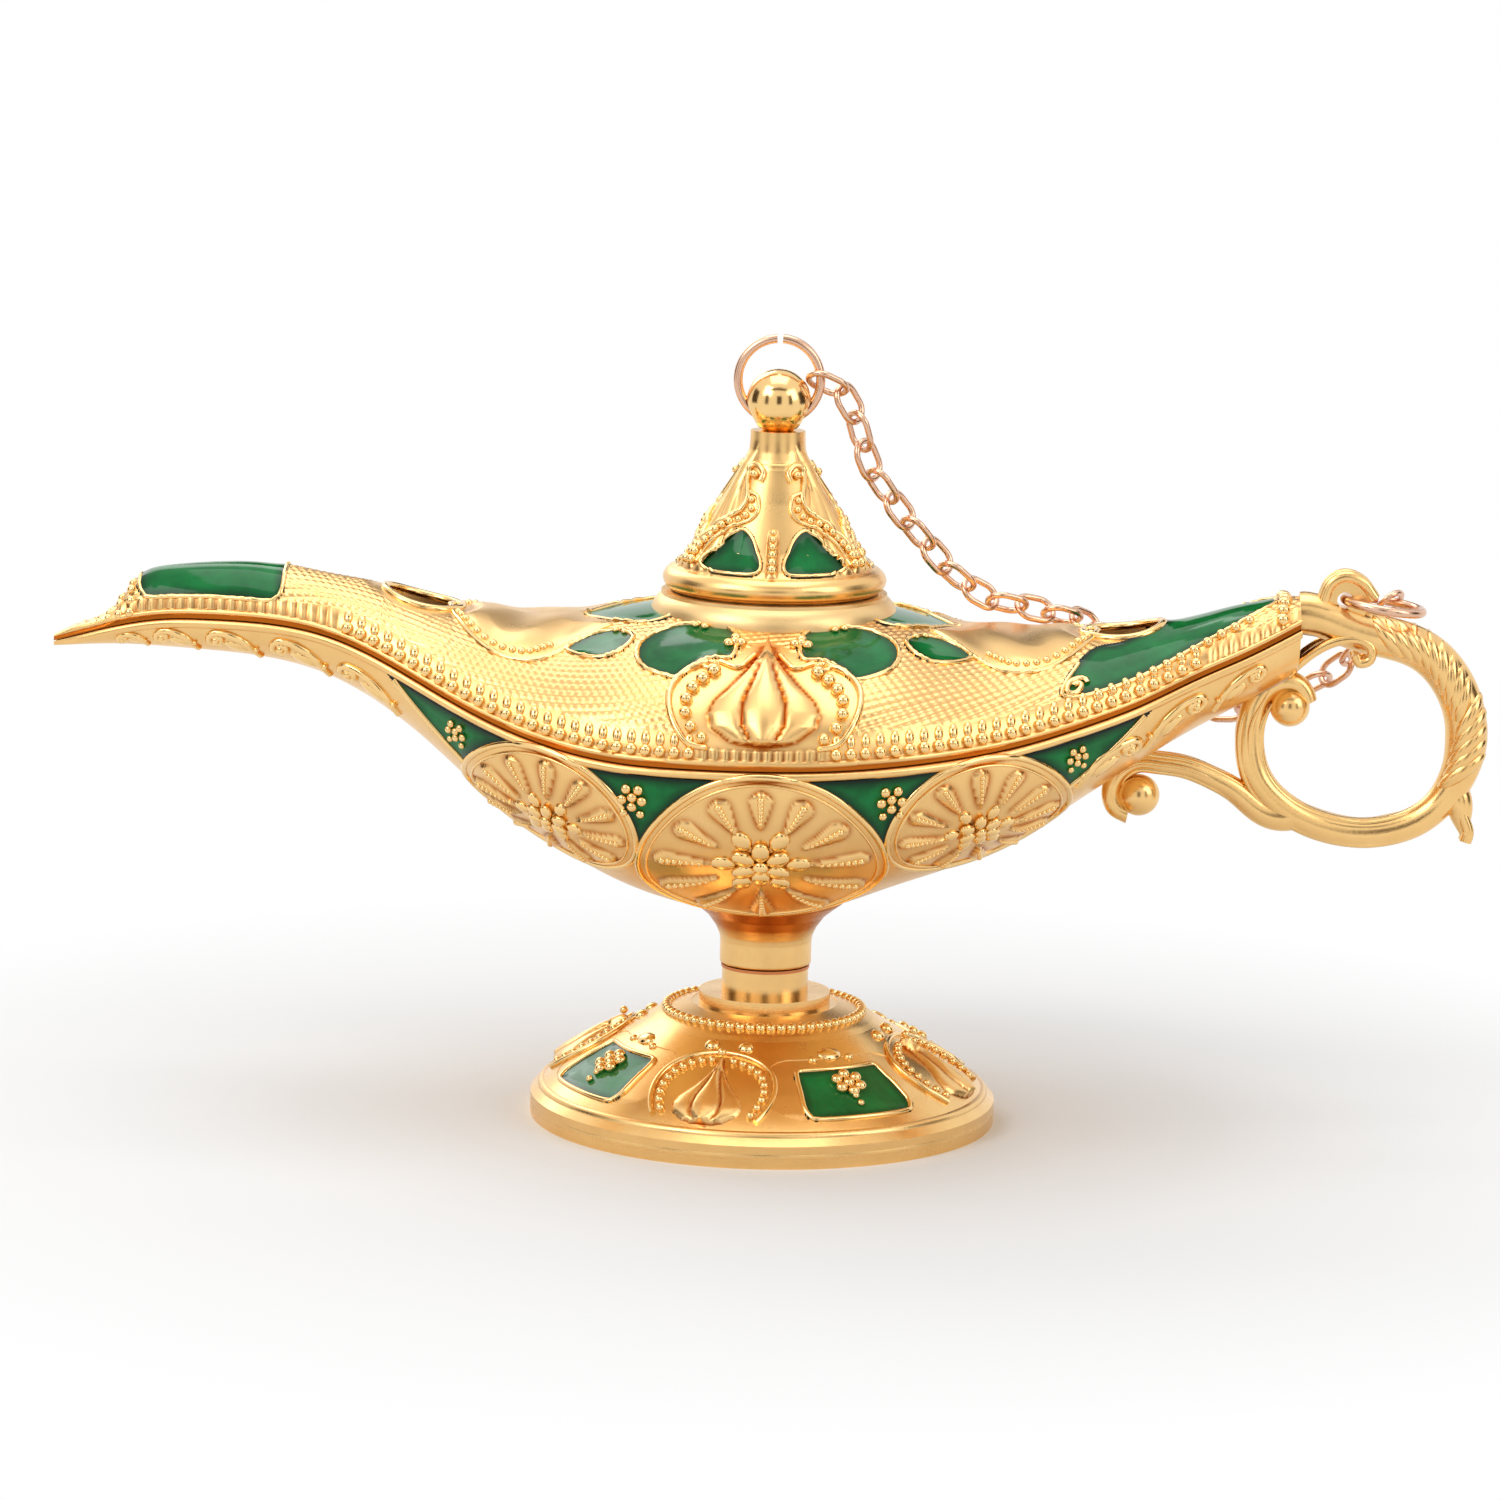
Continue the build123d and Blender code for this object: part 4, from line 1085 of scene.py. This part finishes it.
def buildFoot():
    art = footArt
    profile = art["profile"]
    skin = turnedSkin(profile, footRelief, art["columns"], art["rows"])
    bell = meshObject("foot_bell", skin["points"], skin["faces"], metals["gilt"], 60,
                      hollow=skin["hollow"], matt=skin["matt"])
    turnedEnamel("foot_enamel_cells", skin, footField(skin["x"], skin["s"]), "root", "foot_enamel")
    whole = 2 * math.pi / art["sectors"]
    smith = Goldsmith(lambda p, t, k: turnedPoint(profile, p, t, k * whole), footRelief, range(art["sectors"]))
    # round the onion
    middle = art["turn"]
    a = np.linspace(math.radians(-32), math.radians(212), 60)
    smith.wire(atWidth(profile, np.stack([6.1 * np.cos(a), 8.1 + 6.0 * np.sin(a)], -1), middle), 0.30, 0.15)
    a = np.linspace(math.radians(-28), math.radians(208), 21)
    arch = np.stack([5.1 * np.cos(a), 8.0 + 5.0 * np.sin(a)], -1)
    smith.bead(atWidth(profile, arch, middle), 0.44, 0.22, 0.9)
    for side in (-1, 1):
        smith.bead(atWidth(profile, [(1.7 * side, 15.0)], middle), 0.80, 0.05, 0.7)
    # round and on the green cell
    middle = whole / 2 + art["turn"]
    low, high = art["lowCorners"], art["highCorners"]
    outline = (*sided(low, -1), *low[3::-1], *high[::-1], *sided(high[1:], -1))
    smith.wire(atWidth(profile, smoothLine(outline, 0.35, True), middle), 0.27, 0.06, True)
    for points, *how in ((cluster((0, 9.6), 0.62), 0.62, 0.28, 0.9), ([(0, 7.9), (0.1, 6.9)], 0.36, 0.2, 0.9),
                         ([(0, 14.0)], 0.90, 0.0, 0.5, 1.5, 0), ([(-2.0, 13.4), (2.0, 13.4)], 0.45, 0.0, 0.8)):
        smith.bead(atWidth(profile, points, middle), *how)
    a = np.linspace(0, whole, art["rowCount"], endpoint=False)
    smith.bead(np.stack([a, np.full(art["rowCount"], art["rowAt"])], -1), 0.55, 0.1, 0.9)
    for piece in [bell] + smith.finish("foot"):
        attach(piece, "root")


stemArt = dict(
    profile=((4.2, 15.25), (4.5, 15.4), (4.5, 17.6), (4.6, 18.2), (5.0, 19.1), (5.8, 20.2), (6.8, 21.0),
             (7.6, 21.6), (7.6, 22.4)),
    lines=0.015, linePitch=22, linesTo=2.6, shadeUnderBowlFrom=18.4,
)


def stemRelief(phi, t):
    # fine turning lines on the neck
    return stemArt["lines"] * np.sin(t * stemArt["linePitch"]) * ease((stemArt["linesTo"] - t) / 0.4)


def buildStem():
    skin = turnedSkin(stemArt["profile"], stemRelief, 96, 60, 1.0)
    # painted shade on the top of the neck, where it runs up under the bowl
    shadeUnderBowl = np.clip(skin["points"][:, 2] - stemArt["shadeUnderBowlFrom"], 0, 1) * 0.7
    stem = meshObject("stem_stub", skin["points"], skin["faces"], metals["gilt"], 60,
                      hollow=shadeUnderBowl, matt=skin["matt"])
    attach(stem, "root")


handleArt = dict(
    reach=69.8, height=53.5, fluteCount=14, fluteReach=1.62, fluteGauge=0.78, fluteSteps=18, fluteLean=2.3,
    # flutes along the bars: name, part of the path and thickness of the bar
    bars=(("loop", 0.52, 1.0, 1.18), ("branch", 0.0, 1.0, 0.92)),
    # each flute: distance across, distance from the middle plane and gauge, as shares of the bar's thickness
    ribs=((0.82, 0.62, 0.36), (0.0, 1.02, 0.26), (-0.82, 0.62, 0.36)),
    # lines beside the bar, their distance from its middle plane and their thickness
    scrolls=((((50.2, 45.4), (51.8, 47.4), (54.2, 48.9), (56.6, 49.3), (58.0, 48.5), (57.9, 47.3),
               (56.9, 47.0), (56.5, 47.8)), 1.55, 0.50),
             (((53.0, 50.9), (53.3, 52.8), (54.0, 54.6), (55.4, 55.3), (57.0, 54.7), (58.2, 53.2)), 0.75, 0.62),
             (((66.9, 34.0), (67.5, 32.4), (68.2, 30.6), (68.0, 29.5)), 0.55, 0.62)),
    loop=((.731, .963), (.809, .936), (.903, .901), (.957, .820), (.970, .748), (.958, .665), (.915, .594),
          (.830, .561), (.736, .591), (.682, .656), (.669, .748), (.694, .826)),
    branch=((.736, .591), (.684, .600), (.652, .632), (.620, .654), (.582, .673), (.543, .680), (.513, .681),
            (.490, .660), (.479, .630)),
)


def handlePath(name):
    return smoothLine([(a * handleArt["reach"], b * handleArt["height"]) for a, b in handleArt[name]], 0.4)


def offPlane(line, depth):
    # a line of (x, z) at the given distance from the middle plane
    return np.stack([line[:, 0], np.broadcast_to(depth, len(line)), line[:, 1]], -1)


def buildHandle():
    art = handleArt
    lines = []
    for name, start, stop, bar in art["bars"]:
        path = handlePath(name)
        part = path[int(len(path) * start):int(len(path) * stop)]
        way = np.gradient(part, axis=0)
        way /= np.linalg.norm(way, axis=1, keepdims=True)
        across = np.stack([-way[:, 1], way[:, 0]], -1)
        ends = ease(np.linspace(0, 6, len(part))) * ease(np.linspace(6, 0, len(part)))
        for side in (-1, 1):
            for offset, depth, thick in art["ribs"]:
                rib = part + across * (offset * bar)
                lines.append((offPlane(rib, side * depth * bar), thick * bar * (0.04 + 0.96 * ends)))
    path = handlePath("loop")
    steps = art["fluteSteps"]
    a = np.linspace(math.radians(-75), math.radians(82), steps)
    lean = art["fluteLean"] * np.sin(np.linspace(-1.2, 1.5, steps)) - 0.7
    gauge = art["fluteGauge"] * np.sin(np.linspace(0.2, math.pi - 0.2, steps)) ** 0.7
    for i in np.linspace(len(path) * 0.15, len(path) * 0.425, art["fluteCount"]).astype(int):
        ahead = path[i + 1] - path[i]
        ahead = ahead / np.linalg.norm(ahead)
        across = np.array([-ahead[1], ahead[0]])
        flute = path[i] + ahead * -lean[:, None] + across * (art["fluteReach"] * np.sin(a))[:, None]
        for side in (-1, 1):
            lines.append((offPlane(flute, side * art["fluteReach"] * np.cos(a)), gauge))
    for points, depth, thick in art["scrolls"]:
        scroll = smoothLine(points, 0.25)
        ends = ease(np.linspace(0, 5, len(scroll)))
        for side in (-1, 1):
            lines.append((offPlane(scroll, side * depth), thick * (0.3 + 0.7 * ends)))
    wire = wires("handle_flutes", lines, metals["gilt"], 10)
    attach(wire, "root")


def dressCadNodes():
    # finishes for the cast and bent pieces whose solids already have their shape
    finish = {"collar": "satin_gilt", "finial": "bright_gilt", "lid": "gilt", "foot": "gilt", "handle": "gilt",
              "stem_seam": "copper_seam", "foot_screw": "steel_screw", "foot_washer": "steel_screw"}
    for name, node in nodes.items():
        metal = metals[finish.get(name, "rose_gold_wire")]
        if name.endswith("enamel"):
            metal = emerald
        node.data.materials.clear()
        node.data.materials.append(metal)


dressCadNodes()
print("cad nodes dressed")
buildHull()
print("lower hull made")
buildShell()
print("upper shell made")
buildLid()
buildFoot()
buildStem()
print("lid and foot made")
buildHandle()
print("handle made")


# studio
studio = dict(
    target=(-2.0, 0.0, 36.4), distance=553.0, elevation=9.9, azimuth=2.0, roll=1.36, fieldOfView=15.12,
    floorColour=(0.93, 0.93, 0.93), floorSize=14.0, shadowReach=(0.045, 0.065),
    # each lamp: name, place, size and power
    lamps=(("key", (-420, -420, 520), 420, 1.9), ("fill", (520, -360, 360), 420, 1.1),
           ("top", (0, 60, 700), 520, 1.5), ("rim", (-260, 480, 380), 360, 0.9)),
    # dark cards that only reflections show: place, width, height
    flags=(((30, -620, 170), 190, 330), ((-430, -470, 150), 150, 430), ((440, -450, 150), 150, 430),
           ((0, -420, 560), 640, 110), ((-620, 60, 150), 330, 420), ((620, 60, 150), 330, 420),
           ((0, 560, 330), 640, 170)),
    flagColour=(0.060, 0.036, 0.016), skyLight=0.30, skySeen=0.70,
)


def aimed(place, target):
    return (Vector(target) - Vector(place)).to_track_quat("-Z", "Y")


def whenSeen(tree):
    # 1 for what the camera sees, straight or in a reflection
    path = tree.nodes.new("ShaderNodeLightPath")
    names = ("Is Camera Ray", "Is Glossy Ray", "Is Transmission Ray")
    return sum(Wire(tree, path.outputs[name]) for name in names).clamp()


def floorPaint():
    # pale paint that keeps the shadow, plain white further out
    f = Finish("floor_paint")
    far = f.node("ShaderNodeVectorMath", {"operation": "LENGTH"}, {0: f.place()}, 1)
    near, wide = studio["shadowReach"]
    share = whenSeen(f.tree) * ((far - near) / wide).clamp()
    paint = f.node("ShaderNodeBsdfPrincipled", None, {"Base Color": studio["floorColour"], "Roughness": 0.9})
    glow = f.node("ShaderNodeEmission", None, {"Color": (1.0, 1.0, 1.0), "Strength": 1.0})
    both = f.node("ShaderNodeMixShader", None, {0: share, 1: paint, 2: glow})
    f.node("ShaderNodeOutputMaterial", None, {"Surface": both})
    return f.material


def card(name, width, tall, paint):
    # a flat rectangle about its own middle
    w, t = width / 2, tall / 2
    mesh = bpy.data.meshes.new(name)
    mesh.from_pydata([(-w, -t, 0), (w, -t, 0), (w, t, 0), (-w, t, 0)], [], [(0, 1, 2, 3)])
    mesh.materials.append(paint)
    made = bpy.data.objects.new(name, mesh)
    bpy.context.scene.collection.objects.link(made)
    return made


def setStudio():
    s = studio
    scene = bpy.context.scene
    e, a = math.radians(s["elevation"]), math.radians(s["azimuth"])
    target = Vector(s["target"]) * mm
    back = Vector((math.sin(a) * math.cos(e), -math.cos(a) * math.cos(e), math.sin(e)))
    data = bpy.data.cameras.new("camera")
    data.sensor_width = 36
    data.angle = math.radians(s["fieldOfView"])
    data.clip_start, data.clip_end = 0.01, 20
    camera = bpy.data.objects.new("camera", data)
    scene.collection.objects.link(camera)
    camera.location = target + back * s["distance"] * mm
    turn = aimed(camera.location, target)
    camera.rotation_mode = "QUATERNION"
    camera.rotation_quaternion = turn @ Matrix.Rotation(math.radians(s["roll"]), 4, "Z").to_quaternion()
    scene.camera = camera
    for name, place, size, power in s["lamps"]:
        light = bpy.data.lights.new(name, "AREA")
        light.shape, light.size, light.energy = "SQUARE", size * mm, power
        lamp = bpy.data.objects.new(name, light)
        scene.collection.objects.link(lamp)
        lamp.location = Vector(place) * mm
        lamp.rotation_euler = aimed(lamp.location, target).to_euler()
    floor = card("floor", s["floorSize"], s["floorSize"], floorPaint())
    cloth = Finish("flag_cloth").surface({"Base Color": s["flagColour"], "Roughness": 1.0})
    for k, (place, width, tall) in enumerate(s["flags"]):
        flag = card("flag_%d" % k, width * mm, tall * mm, cloth)
        flag.location = Vector(place) * mm
        flag.rotation_euler = aimed(flag.location, target).to_euler()
        flag.visible_camera = flag.visible_shadow = flag.visible_diffuse = False
    world = bpy.data.worlds.new("studio")
    scene.world = world
    world.use_nodes = True
    tree = world.node_tree
    tree.nodes.clear()
    strength = s["skyLight"] + s["skySeen"] * whenSeen(tree)
    sky = tree.nodes.new("ShaderNodeBackground")
    sky.inputs["Color"].default_value = (1, 1, 1, 1)
    tree.links.new(strength.socket, sky.inputs["Strength"])
    out = tree.nodes.new("ShaderNodeOutputWorld")
    tree.links.new(sky.outputs[0], out.inputs["Surface"])
    scene.view_settings.view_transform = "Standard"


setStudio()
print("studio set")
